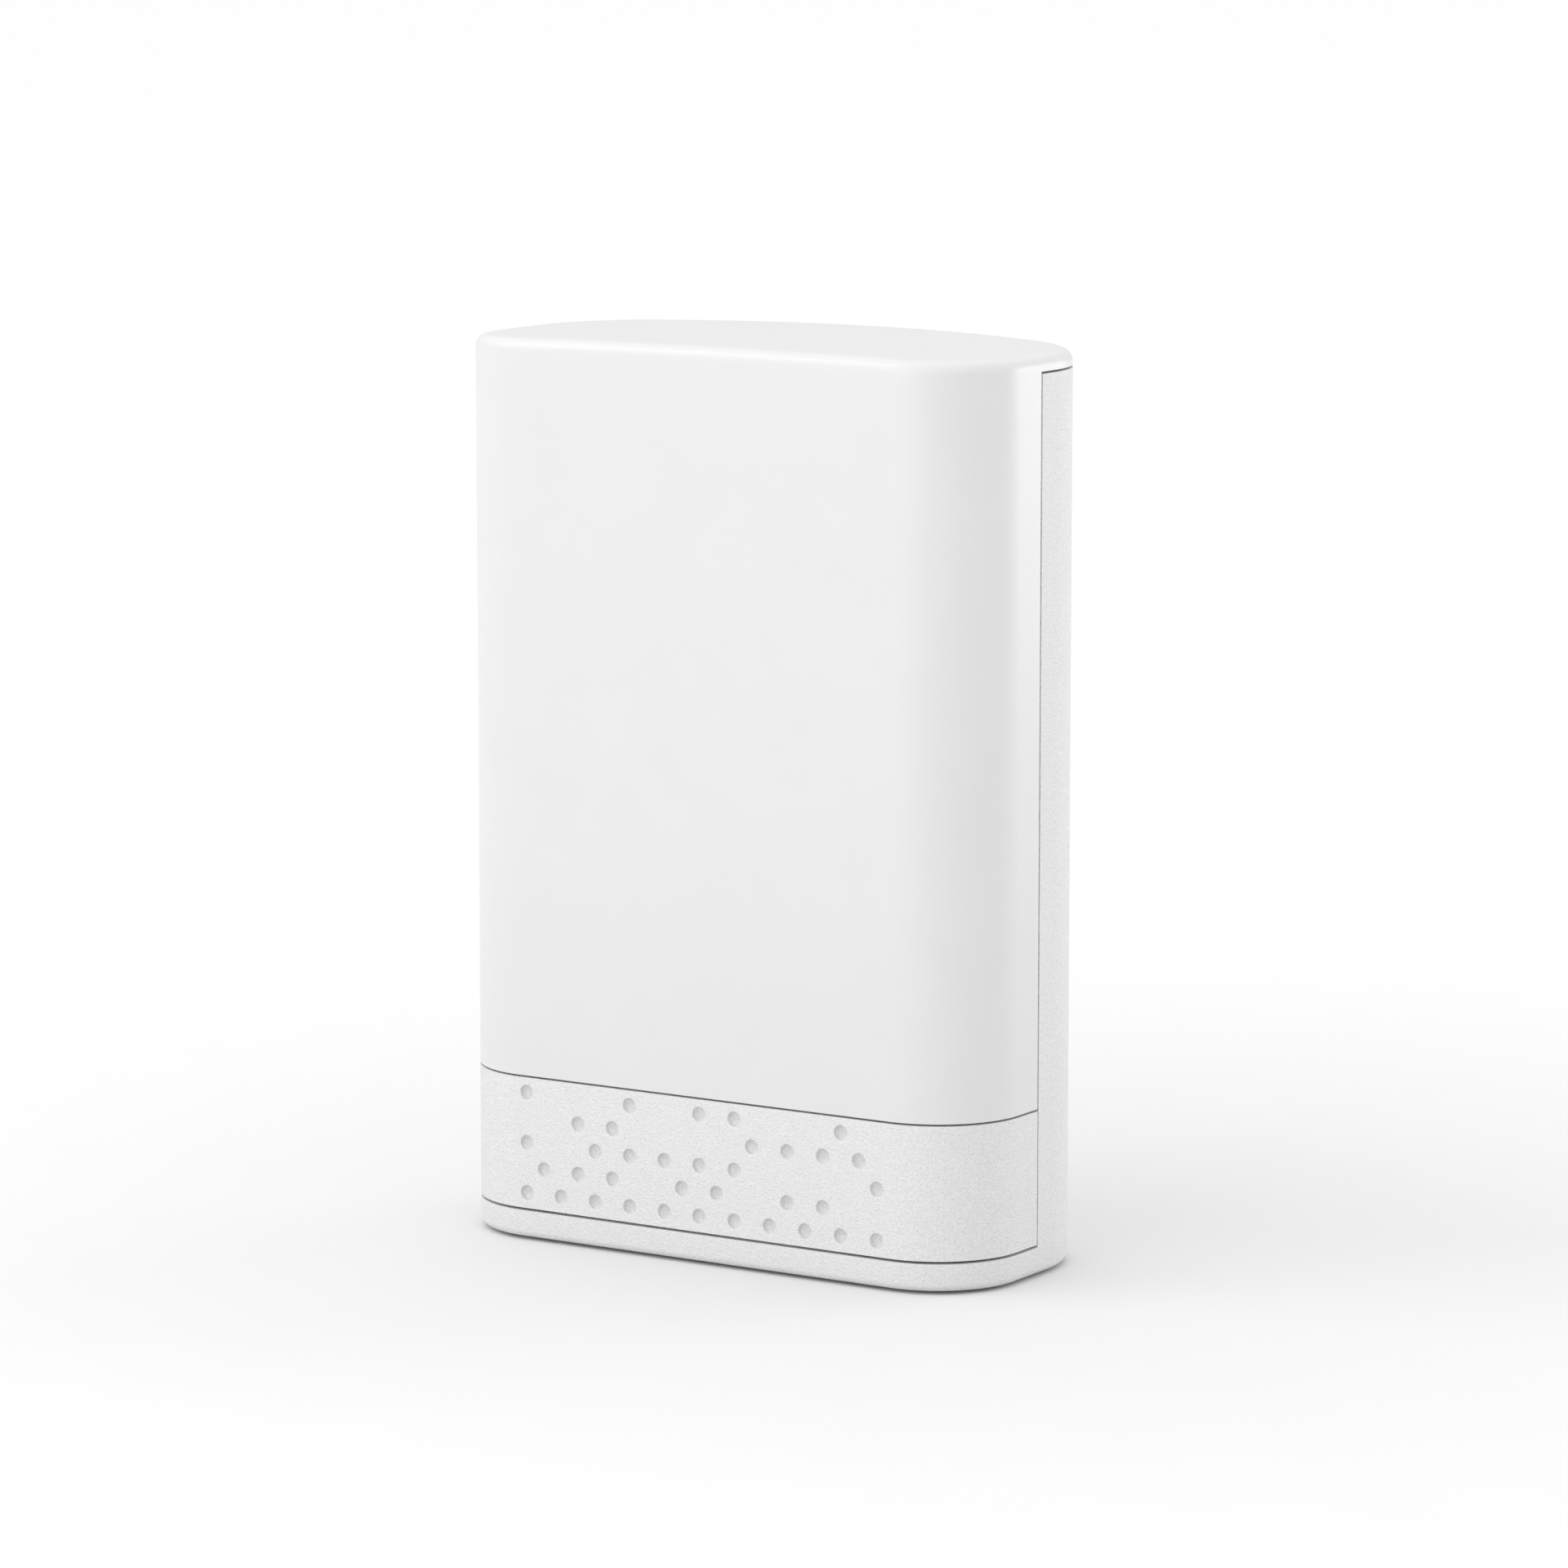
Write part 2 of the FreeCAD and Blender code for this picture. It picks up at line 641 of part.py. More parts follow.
def make_inner_frame():
    """A plastic frame: a plate with a window for the heat sink, two side wings for the aerials, four bosses
    for the board, and two feet that the case screws hold down."""
    body = new_body("inner_frame")
    low = d.base_floor + FRAME_GAP_LOW
    wide = d.frame_width / 2

    def plate(sketch):
        rectangle(sketch, (-wide, wide), (low, d.frame_high))
        rectangle(sketch, (-WINDOW_HALF, WINDOW_HALF), (WINDOW_LOW, WINDOW_HIGH))
        rectangle(sketch, about(0, GUIDE_NECK + 1), about(LAMP_Z, GUIDE_THICK + 1))

    pad_between(body, "frame_plate", FRAME_FRONT, FRAME_BACK, plate, "XZ_Plane")
    reach = (FRAME_BACK - WING_FRONT - 2, FRAME_BACK)
    for side, limits in (("left", (-wide, WING_THICK - wide)), ("right", (wide - WING_THICK, wide))):
        name = f"frame_wing_{side}"
        pad_between(body, name, WING_LOW, d.frame_high, lambda s, x=limits: rectangle(s, x, reach))

    def bosses(sketch):
        for x, z in BOARD_SCREW_PLACES:
            circle(sketch, x, z, BOSS_RADIUS)

    def feet(sketch):
        for side in (-1, 1):
            rectangle(sketch, about(side * CASE_SCREW_X, 14), (CASE_SCREW_Y - 6, FRAME_BACK))

    pad_between(body, "frame_bosses", FRAME_BACK - 0.5, BOARD_FRONT, bosses, "XZ_Plane")
    pad_between(body, "frame_feet", low, low + FRAME_FOOT_HIGH, feet)
    sketch = sketch_on(body, "foot_holes", "XY_Plane", low + FRAME_FOOT_HIGH + 1)
    for side in (-1, 1):
        circle(sketch, side * CASE_SCREW_X, CASE_SCREW_Y, CASE_SHANK_RADIUS + 0.05)
    pocket(body, sketch, FRAME_FOOT_HIGH + 2)
    holes = sketch_on(body, "boss_holes", "XZ_Plane", FRAME_FRONT - 1)
    for x, z in BOARD_SCREW_PLACES:
        circle(holes, x, z, BOARD_SCREW_RADIUS + 0.05)
    pocket(body, holes, d.frame_thick + d.frame_gap + 2)


def make_screws():
    """Board screws from behind and case screws from below, each a head on a shank."""
    screws = []
    for n, (x, z) in enumerate(BOARD_SCREW_PLACES):
        head = rod(f"board_head_{n}", x, (BOARD_BACK, BOARD_BACK + 1.6), z, 2.4)
        drive = rod(f"board_drive_{n}", x, (BOARD_BACK + 0.8, BOARD_BACK + 2), z, 0.9)
        shank = rod(f"board_shank_{n}", x, (FRAME_FRONT + 0.4, BOARD_BACK + 0.4), z, BOARD_SCREW_RADIUS)
        screws.append(cut(f"board_screw_{n}", fuse(f"board_screw_blank_{n}", [head, shank]), [drive]))
    keep(group("board_screws", screws), "board_screws")
    screws = []
    for side in (-1, 1):
        x = side * CASE_SCREW_X
        mark = "left" if side < 0 else "right"
        head = rod(f"case_head_{mark}", x, CASE_SCREW_Y, (HEAD_LEVEL - 1.1, HEAD_LEVEL), CASE_HEAD_RADIUS)
        drive = rod(f"case_drive_{mark}", x, CASE_SCREW_Y, (HEAD_LEVEL - 2, HEAD_LEVEL - 0.5), 1.0)
        shank = rod(f"case_shank_{mark}", x, CASE_SCREW_Y, (HEAD_LEVEL - 0.2, 9), CASE_SHANK_RADIUS)
        screws.append(cut(f"case_screw_{mark}", fuse(f"case_screw_blank_{mark}", [head, shank]), [drive]))
    keep(group("case_screws", screws), "case_screws")


# ---------------------------------------------------------------- circuit board and what it carries
SINK_WIDE, SINK_HIGH, SINK_BASE = 50, 58, 3
FIN_HIGH, FIN_LONG, FIN_THICK, FIN_COUNT = 12, 40, 1.2, 9
CHIP_SIDE, CHIP_THICK = 20, 1.2
PAD_THICK = 0.5
PIN_X, PIN_Z = 18, 25
PIN_RADIUS = 1.2


def pin_places():
    """The two opposite corners where push pins hold the heat sink."""
    return ((-PIN_X, d.chip_z - PIN_Z), (PIN_X, d.chip_z + PIN_Z))


def make_main_board():
    """The board, with holes for its screws and for the heat sink's pins."""
    body = new_body("main_board")

    def blank(sketch):
        rectangle(sketch, about(0, d.board_width), (d.board_low, d.board_high))
        for x, z in BOARD_SCREW_PLACES:
            circle(sketch, x, z, BOARD_SCREW_RADIUS + 0.15)
        for x, z in pin_places():
            circle(sketch, x, z, PIN_RADIUS + 0.15)

    pad_between(body, "board_blank", BOARD_FRONT, BOARD_BACK, blank, "XZ_Plane")


def on_front(name, x, z, wide, high, thick):
    """A block on the board's front face."""
    return box(name, about(x, wide), (BOARD_FRONT - thick, BOARD_FRONT), about(z, high))


def on_back(name, x, z, wide, high, thick):
    """A block on the board's back face."""
    return box(name, about(x, wide), (BOARD_BACK, BOARD_BACK + thick), about(z, high))


def make_chips():
    """Processor, memory, network switch and radio shields in front, transformers and power parts behind."""
    keep(on_front("router_chip", 0, d.chip_z, CHIP_SIDE, CHIP_SIDE, CHIP_THICK), "router_chip")
    keep(on_front("switch_chip", 0, 62, 14, 14, 1.0), "switch_chip")
    memory = [on_front(f"memory_{n}", x, 150, 9, 13, 1.0) for n, x in enumerate((-9, 9))]
    keep(group("memory_chips", memory), "memory_chips")
    cans = []
    for n, x in enumerate((-27, 27)):
        shell = on_front(f"can_outer_{n}", x, 60, 30, 24, 2.6)
        inner = box(f"can_inner_{n}", about(x, 29.4), (BOARD_FRONT - 2.3, BOARD_FRONT + 1), about(60, 23.4))
        cans.append(cut(f"can_{n}", shell, [inner]))
    keep(group("radio_shields", cans), "radio_shields")
    coils = [on_back(f"transformer_{n}", -29, z, 16, 24, 5.5) for n, z in enumerate((92, 122))]
    keep(group("jack_transformers", coils), "jack_transformers")
    chokes = [on_back(f"choke_{n}", 27, z, 7, 7, 3.6) for n, z in enumerate((66, 76))]
    keep(group("power_chokes", chokes), "power_chokes")
    cans = []
    for n, z in enumerate((30, 41, 52)):
        cans.append(rod(f"capacitor_{n}", 27, (BOARD_BACK, BOARD_BACK + 10), z, 4))
    keep(group("capacitors", cans), "capacitors")
    lamps = [on_front(f"lamp_{n}", x, LAMP_Z, 1.6, 1.6, 0.8) for n, x in enumerate((-12, 0, 12))]
    keep(group("status_leds", lamps), "status_leds")


def make_light_guide():
    """A clear bar that carries the status lights to the back of the band, split in three beside the lamps."""
    lamp_face = BOARD_FRONT - 1.0
    front = FRONT + d.wall + TONGUE_GAP + 1.6
    level = about(LAMP_Z, GUIDE_THICK)
    bar = box("guide_bar", (-15, 15), (front, FRAME_FRONT - 3), level)
    neck = box("guide_neck", about(0, GUIDE_NECK), (FRAME_FRONT - 4, lamp_face), level)
    flange = box("guide_flange", (-17, 17), (front, front + 1.5), about(LAMP_Z, 2 * GUIDE_THICK))
    slots = []
    for n, x in enumerate((-6, 6)):
        taller = about(LAMP_Z, GUIDE_THICK + 2)
        slots.append(box(f"guide_slot_{n}", about(x, 2.4), (FRAME_FRONT - 1, lamp_face + 1), taller))
    keep(cut("light_guide", fuse("guide_blank", [bar, neck, flange]), slots), "light_guide")


def make_heat_sink():
    """Finned block over the processor, on a soft pad, held by two push pins."""
    pad_front = BOARD_FRONT - CHIP_THICK - PAD_THICK
    heat_pad = box("thermal_pad", about(0, 24), (pad_front, pad_front + PAD_THICK), about(d.chip_z, 24))
    keep(heat_pad, "thermal_pad")
    base_front = pad_front - SINK_BASE
    body = new_body("heat_sink")

    def plate(sketch):
        rectangle(sketch, about(0, SINK_WIDE), about(d.chip_z, SINK_HIGH))
        for x, z in pin_places():
            circle(sketch, x, z, PIN_RADIUS + 0.15)

    def fins(sketch):
        step = (SINK_WIDE - FIN_THICK) / (FIN_COUNT - 1)
        for n in range(FIN_COUNT):
            rectangle(sketch, about(step * (n - (FIN_COUNT - 1) / 2), FIN_THICK), about(d.chip_z, FIN_LONG))

    pad_between(body, "sink_base", base_front, pad_front, plate, "XZ_Plane")
    pad_between(body, "sink_fins", base_front - FIN_HIGH, base_front + 0.5, fins, "XZ_Plane")
    pins = []
    for n, (x, z) in enumerate(pin_places()):
        head = rod(f"pin_head_{n}", x, (base_front - 1.6, base_front), z, 2.4)
        shank = rod(f"pin_shank_{n}", x, (base_front - 0.5, BOARD_BACK + 0.5), z, PIN_RADIUS)
        tip = rod(f"pin_tip_{n}", x, (BOARD_BACK, BOARD_BACK + 1.5), z, 1.9)
        pins.append(fuse(f"pin_{n}", [head, shank, tip]))
    keep(group("heat_sink_pins", pins), "heat_sink_pins")


# ---------------------------------------------------------------- sockets
JACK_FRONT_GAP = 0.4
SHIELD_THICK = 0.25
PLUG_WIDE, PLUG_HIGH = 11.8, 7.6
PLUG_LOW = -3.2
PLUG_DEEP = 12.5
CONTACT_PITCH = 1.02
CONTACT_THICK = 0.35


def make_jack(name, level):
    """A network socket for a plug that comes from behind: metal shield, plastic insert with the plug's cavity
    and latch steps, and eight sprung contacts that slope down into the cavity."""
    mouth = PANEL_OUT - JACK_FRONT_GAP
    shell = box(name + "_sleeve", about(0, JACK_WIDE), (BOARD_BACK, mouth), about(level, JACK_HIGH))
    inner_wide, inner_high = JACK_WIDE - 2 * SHIELD_THICK, JACK_HIGH - 2 * SHIELD_THICK
    through = (BOARD_BACK - 1, mouth + 1)
    hollow = box(name + "_hollow", about(0, inner_wide), through, about(level, inner_high))
    keep(cut(name + "_shield", shell, [hollow]), name + "_shield")
    block_wide, block_high = inner_wide - 0.1, inner_high - 0.1
    block = box(name + "_block", about(0, block_wide), (BOARD_BACK, mouth - 0.2), about(level, block_high))
    bottom = mouth - PLUG_DEEP
    steps = (
        (PLUG_WIDE, PLUG_LOW, PLUG_LOW + PLUG_HIGH),
        (6.4, PLUG_LOW - 1.5, PLUG_LOW + 1),
        (3.4, PLUG_LOW - 2.5, PLUG_LOW + 1),
    )
    cavities = []
    for n, (wide, low, high) in enumerate(steps):
        limits = (level + low, level + high)
        cavities.append(box(f"{name}_cavity_{n}", about(0, wide), (bottom, mouth + 1), limits))
    keep(cut(name + "_insert", block, cavities), name + "_insert")
    springs = []
    slope = 12
    for n in range(8):
        x = CONTACT_PITCH * (n - 3.5)
        strip = box(f"{name}_spring_{n}", about(x, 0.45), (0, 9), (0, CONTACT_THICK))
        strip.Placement.Rotation = FreeCAD.Rotation(Vector(1, 0, 0), slope)
        bind(strip, Base_x=x - 0.225, Base_y=bottom + 0.6, Base_z=level + 2.0)
        springs.append(strip)
    keep(group(name + "_contacts", springs), name + "_contacts")


def make_usb():
    """A flat socket: folded metal shell, plastic tongue and four contacts under it."""
    mouth = PANEL_OUT - 0.2
    wall = 0.35
    shell = box("usb_sleeve", about(0, USB_WIDE), (BOARD_BACK, mouth), about(d.usb_z, USB_HIGH))
    clear = (BOARD_BACK + 1, mouth + 1)
    hollow = box("usb_hollow", about(0, USB_WIDE - 2 * wall), clear, about(d.usb_z, USB_HIGH - 2 * wall))
    keep(cut("usb_shell", shell, [hollow]), "usb_shell")
    tongue_low, tongue_high = d.usb_z + 0.4, d.usb_z + 2.2
    root = box("usb_root", about(0, 12.3), (BOARD_BACK + 1.1, mouth - 9.4), about(d.usb_z, 4.9))
    blade = box("usb_blade", about(0, 11.1), (mouth - 10, mouth - 0.8), (tongue_low, tongue_high))
    keep(fuse("usb_tongue", [root, blade]), "usb_tongue")
    strips = []
    reach, thick = (mouth - 9.3, mouth - 1.6), (tongue_low - 0.25, tongue_low)
    for n, x in enumerate((-3.5, -1, 1, 3.5)):
        strips.append(box(f"usb_strip_{n}", about(x, 1), reach, thick))
    keep(group("usb_contacts", strips), "usb_contacts")


DC_BORE = 3.1
DC_PIN = 1.0


def make_dc_jack():
    """The power inlet: a block with a round bore, a centre pin and a side contact spring."""
    mouth = PANEL_OUT - 0.2
    bottom = mouth - 11
    block = box("dc_block", about(0, DC_WIDE), (BOARD_BACK, mouth), about(d.dc_z, DC_HIGH))
    bore = rod("dc_bore", 0, (bottom, mouth + 1), d.dc_z, DC_BORE)
    seat = rod("dc_seat", 0, (BOARD_BACK - 1, bottom + 1), d.dc_z, 1.6)
    slot = box("dc_slot", about(0, 2.2), (bottom, mouth - 2), (d.dc_z - 4.4, d.dc_z))
    keep(cut("dc_jack_body", block, [bore, seat, slot]), "dc_jack_body")
    pin = rod("dc_pin_blade", 0, (bottom - 1, mouth - 1.0), d.dc_z, DC_PIN)
    root = rod("dc_pin_root", 0, (BOARD_BACK + 0.5, bottom), d.dc_z, 1.5)
    keep(fuse("dc_jack_pin", [pin, root]), "dc_jack_pin")
    spring = box("dc_jack_spring", about(0, 1.8), (bottom + 0.2, mouth - 2.4), (d.dc_z - 4.1, d.dc_z - 3.7))
    keep(spring, "dc_jack_spring")


# ---------------------------------------------------------------- keys and their switches
KEY_GAP = 0.3
FLANGE_THICK = 1.6
SWITCH_HIGH = 6.0
STEM_INTO_WELL = 1.2
WELL_SPARE = 0.5
POWER_PROUD, WPS_PROUD = 0.3, 0.2


def make_switch(label, level, wide, well_radius, travel):
    """A switch block on the back of the board, with a round well that takes the key's stem and its travel."""
    top = BOARD_BACK + SWITCH_HIGH
    block = on_back(label + "_block", 0, level, wide, wide, SWITCH_HIGH)
    bottom = top - STEM_INTO_WELL - travel - WELL_SPARE
    well = rod(label + "_well", 0, (bottom, top + 1), level, well_radius)
    keep(cut(label, block, [well]), label)


def make_keys():
    """The power key, the pairing key and the reset plunger, each with its stem in its switch. A pressed key
    still stands a little proud of the panel."""
    top = BOARD_BACK + SWITCH_HIGH
    flange = (PANEL_IN - KEY_GAP - FLANGE_THICK, PANEL_IN - KEY_GAP)
    make_switch("power_switch", d.power_z, 8, 2.0, d.power_travel)
    make_switch("wps_switch", d.wps_z, 6, 1.5, d.wps_travel)
    make_switch("reset_switch", d.reset_z, 6, 1.5, d.reset_travel)
    reach = (flange[0], PANEL_OUT + d.power_travel + POWER_PROUD)
    cap = box("power_cap", about(0, POWER_WIDE), reach, about(d.power_z, POWER_HIGH))
    rim = box("power_rim", about(0, POWER_WIDE + 3), flange, about(d.power_z, POWER_HIGH + 3))
    stem = rod("power_stem", 0, (top - STEM_INTO_WELL, flange[0] + 0.5), d.power_z, 1.6)
    keep(fuse("power_button", [cap, rim, stem]), "power_button")
    reach = (flange[0], PANEL_OUT + d.wps_travel + WPS_PROUD)
    cap = rod("wps_cap", 0, reach, d.wps_z, WPS_RADIUS)
    rim = rod("wps_rim", 0, flange, d.wps_z, WPS_RADIUS + 1.4)
    stem = rod("wps_stem", 0, (top - STEM_INTO_WELL, flange[0] + 0.5), d.wps_z, 1.1)
    keep(fuse("wps_button", [cap, rim, stem]), "wps_button")
    head = rod("reset_head", 0, (flange[0], PANEL_IN - KEY_GAP), d.reset_z, 1.8)
    stem = rod("reset_stem", 0, (top - STEM_INTO_WELL, flange[0] + 0.5), d.reset_z, 1.1)
    keep(fuse("reset_plunger", [head, stem]), "reset_plunger")


# ---------------------------------------------------------------- aerials and their cables
AERIAL_WIDE, AERIAL_THICK = 12.0, 0.8
CABLE_RADIUS = 0.6
CABLE_BEND = 5.0
PLUG_X = 35
# name, side, low and high end of the strip, where its cable starts, and the height of the cable's crossing
AERIALS = (
    ("upper_left", -1, 132, 192, 142, 124),
    ("upper_right", 1, 132, 192, 142, 124),
    ("lower_left", -1, 48, 108, 106, 88),
    ("lower_right", 1, 48, 108, 106, 88),
)


def cable_solid(corners, bend, radius):
    """A round cable along straight runs joined by tangent arcs of one radius."""
    edges = []
    start = corners[0]
    for here, after in zip(corners[1:-1], corners[2:]):
        into = (here - start).normalize()
        away = (after - here).normalize()
        cut_back = bend * math.tan(into.getAngle(away) / 2)
        first, last = here - into * cut_back, here + away * cut_back
        inward = (away - into).normalize()
        reach = math.hypot(cut_back, bend)
        nearest = here + inward * (reach - bend)
        edges.append(Part.LineSegment(start, first).toShape())
        edges.append(Part.Arc(first, nearest, last).toShape())
        start = last
    edges.append(Part.LineSegment(start, corners[-1]).toShape())
    path = Part.Wire(edges)
    direction = (corners[1] - corners[0]).normalize()
    profile = Part.Wire([Part.makeCircle(radius, corners[0], direction)])
    solid = path.makePipeShell([profile], True, False)
    volume = math.pi * radius**2 * path.Length
    if abs(solid.Volume / volume - 1) > 0.01:
        raise RuntimeError("a cable's volume is not its section times its length")
    return solid


def make_aerials():
    """Four aerial strips on the frame's wings, each with a thin cable to its plug on the board."""
    inner_face = d.frame_width / 2 - WING_THICK
    middle = FRAME_BACK - WING_FRONT / 2 - 2
    plugs = []
    for name, side, low, high, start, crossing in AERIALS:
        faces = (inner_face - AERIAL_THICK, inner_face)
        limits = faces if side > 0 else (-faces[1], -faces[0])
        strip = box(f"aerial_{name}", limits, about(middle, AERIAL_WIDE), (low, high))
        keep(strip, f"aerial_{name}")
        run_x = side * (inner_face.number - AERIAL_THICK - CABLE_RADIUS - 0.02)
        plug_x = side * PLUG_X
        plug_face = BOARD_FRONT.number - 2.0
        corners = [
            Vector(run_x, middle.number, start),
            Vector(run_x, middle.number, crossing),
            Vector(plug_x, middle.number, crossing),
            Vector(plug_x, plug_face, crossing),
        ]
        cable = doc.addObject("Part::Feature", f"aerial_cable_{name}")
        cable.Shape = cable_solid(corners, CABLE_BEND, CABLE_RADIUS)
        keep(cable, f"aerial_cable_{name}")
        plugs.append(rod(f"plug_{name}", plug_x, (BOARD_FRONT - 2.0, BOARD_FRONT), crossing, 1.7))
    keep(group("aerial_plugs", plugs), "aerial_plugs")


# ---------------------------------------------------------------- build, test, write
def main():
    make_front_cover()
    make_front_band()
    make_rear_housing()
    make_feet()
    make_rating_label()
    make_inner_frame()
    make_screws()
    make_main_board()
    make_chips()
    make_light_guide()
    make_heat_sink()
    for n, name in enumerate(JACK_NAMES):
        make_jack(name, jack_height(n))
    make_usb()
    make_dc_jack()
    make_keys()
    make_aerials()
    doc.recompute()
    for thing in doc.Objects:
        if any(word in thing.State for word in ("Invalid", "Error")):
            raise RuntimeError(f"{thing.Name} failed: {thing.State}")
    for thing in SUBPARTS:
        if thing.Shape.isNull() or not thing.Shape.isValid():
            raise RuntimeError(f"{thing.Label} has no valid shape")
    os.makedirs("parts", exist_ok=True)
    for thing in SUBPARTS:
        thing.Shape.exportStep(f"parts/{thing.Label}.step")
    print(len(SUBPARTS), "sub-parts written")


main()
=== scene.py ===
"""Looks of an upright wireless router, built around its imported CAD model, in metres."""

import json
import math

import bmesh
import bpy
from mathutils import Matrix, Vector


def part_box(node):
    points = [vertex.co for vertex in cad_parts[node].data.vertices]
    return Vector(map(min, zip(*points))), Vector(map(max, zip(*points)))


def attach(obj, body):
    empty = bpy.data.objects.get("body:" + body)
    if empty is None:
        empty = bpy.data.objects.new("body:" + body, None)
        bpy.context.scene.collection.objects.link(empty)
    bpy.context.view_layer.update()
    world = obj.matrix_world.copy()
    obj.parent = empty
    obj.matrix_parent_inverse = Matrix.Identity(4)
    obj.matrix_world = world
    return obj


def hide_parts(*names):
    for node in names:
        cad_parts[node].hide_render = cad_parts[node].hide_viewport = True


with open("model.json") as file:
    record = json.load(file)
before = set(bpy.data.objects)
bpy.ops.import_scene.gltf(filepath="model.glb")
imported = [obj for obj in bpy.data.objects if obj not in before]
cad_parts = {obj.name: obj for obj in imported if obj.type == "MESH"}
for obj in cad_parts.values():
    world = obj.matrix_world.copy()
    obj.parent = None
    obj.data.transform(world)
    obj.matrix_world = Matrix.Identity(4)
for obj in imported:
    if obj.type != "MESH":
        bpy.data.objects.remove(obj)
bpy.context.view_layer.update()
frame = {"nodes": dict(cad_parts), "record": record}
nodes = frame["nodes"]
MM = 0.001

# ---------------------------------------------------------------- sizes, from the frame where it gives them
COVER_LOW, COVER_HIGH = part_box("front_cover")
BAND_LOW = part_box("front_band")[0]
HOUSE_LOW, HOUSE_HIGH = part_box("rear_housing")

# outline seen from above, and the case shells
HALF = COVER_HIGH.x
BACK = COVER_HIGH.y
FRONT = COVER_LOW.y
TOP = COVER_HIGH.z
SEAM = 0.4 * MM
BASE_SEAM = 0.6 * MM
WALL = 2.2 * MM
SPLIT = FRONT + 29.8 * MM
FRONT_CORNER = 20.8 * MM
SIDE_END = FRONT + 35.6 * MM
BACK_CORNER = 26.8 * MM
BAND_TOP = COVER_LOW.z - SEAM
BASE_TOP = BAND_LOW.z - BASE_SEAM
BASE_LOW = HOUSE_LOW.z
BASE_FLOOR = 2.8 * MM
SPINE_TOP = HOUSE_HIGH.z
CROWN = 0.8 * MM
CROWN_ROUND = 2.8 * MM
BASE_ROUND = 1.8 * MM
EDGE_ROUND = 0.22 * MM
SHARP_ANGLE = math.radians(40)
ARC_STEP = math.radians(1.5)

# what joins the shells; the sections are in mm, inwards from the side and backwards from the split
INTO_WALL = 0.5 * MM
TONGUE_HALF = 40 * MM
TONGUE_GAP = 0.15 * MM
TONGUE_THICK = 1.2 * MM
BAND_TONGUE_ROOT = 6 * MM
BAND_TONGUE_RISE = 3 * MM
BASE_TONGUE_RISE = 4 * MM
ARM_SECTION = (
    (5.6, -6.5), (1.7, -6.5), (1.7, -4.5), (4.4, -4.5),
    (4.4, 3.4), (2.8, 3.4), (2.8, 4.6), (5.6, 4.6),
)
ARM_HEIGHTS = (60 * MM, 120 * MM, 180 * MM)
ARM_HALF = 4 * MM
LIP_SECTION = ((3.6, -3), (2.4, -3), (2.4, 0), (1.7, 0), (1.7, 3), (3.6, 3))

# port recess in the back, and the openings in its panel
PANEL_OUT = BACK - 7.5 * MM
PANEL_IN = PANEL_OUT - WALL
RECESS_HALF = 15 * MM
RECESS_LOW = 16 * MM
RECESS_HIGH = 172 * MM
POCKET_BACK = BACK - 1.9 * MM
JACKS = ("wan_jack", "lan_jack_1", "lan_jack_2", "lan_jack_3")
PORT_ROOM = 0.3 * MM
KEY_RIM = 1.5 * MM
PAIRING_HOLE = 3.3 * MM
RESET_HOLE = 1.0 * MM
CUT_PAST = 1 * MM

# vents, and the wells in the base
BACK_VENTS = 5
BACK_VENT_FIRST = RECESS_HIGH + 6.5 * MM
BACK_VENT_PITCH = 3.4 * MM
BACK_VENT_WIDE = 44 * MM
BACK_VENT_HIGH = 1.6 * MM
BACK_VENT_DEEP = 5 * MM
BASE_VENTS = 7
BASE_VENT_PITCH = 6 * MM
BASE_VENT_ROWS = (-12 * MM, 14 * MM)
BASE_VENT_LONG = 14 * MM
BASE_VENT_WIDE = 2.2 * MM
FOOT_PLACES = ((-46 * MM, -20 * MM), (46 * MM, -20 * MM), (40 * MM, 19 * MM), (-40 * MM, 19 * MM))
FOOT_WELL_RADIUS = 5.2 * MM
FOOT_WELL_DEEP = 0.8 * MM
SCREW_PLACES = (-25 * MM, 25 * MM)
SCREW_WELL_RADIUS = 2.85 * MM
SCREW_WELL_DEEP = 1.2 * MM
SCREW_HOLE = 1.7 * MM

# dimples of the band, on a staggered lattice
DIMPLE_PITCH = 9.35 * MM
DIMPLE_ROW = 5.81 * MM
DIMPLE_LOW = 11.2 * MM
DIMPLE_SHIFT = -0.5 * MM
DIMPLE_MIDDLE = 5
DIMPLE_RADIUS = 1.70 * MM
DIMPLE_DEEP = 1.45 * MM
DIMPLE_SOFT = 0.22 * MM
DIMPLE_WALL = 0.5 * MM
DIMPLE_CELL = 1.93 * MM
# Filled places of the lattice, row by row from the bottom, in pitches from the left end.
DIMPLE_ROWS = (
    (0, 1, 2, 3, 4, 5, 6, 7, 8, 9, 10),
    (0.5, 1.5, 2.5, 4.5, 5.5, 7.5, 8.5),
    (0, 2, 3, 4, 5, 6, 10),
    (1.5, 2.5, 6.5, 7.5, 8.5, 9.5),
    (0, 3, 5, 6, 9),
)


# ---------------------------------------------------------------- meshes
def new_piece(bm, name, material):
    """Turns a bmesh into a piece that rides on the case."""
    bmesh.ops.remove_doubles(bm, verts=bm.verts, dist=1e-7)
    bmesh.ops.recalc_face_normals(bm, faces=bm.faces)
    piece = loose_object(bm, name)
    piece.data.materials.append(material)
    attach(piece, "case")
    return piece


def loose_object(bm, name="tool"):
    """Puts a bmesh into the scene as an object, and frees the bmesh."""
    mesh = bpy.data.meshes.new(name)
    bm.to_mesh(mesh)
    bm.free()
    made = bpy.data.objects.new(name, mesh)
    bpy.context.scene.collection.objects.link(made)
    return made


def shade(piece):
    """Smooth shading with the sharp edges kept, and slightly rounded."""
    piece.data.shade_smooth()
    piece.data.set_sharp_from_angle(angle=SHARP_ANGLE)
    soften(piece, EDGE_ROUND)


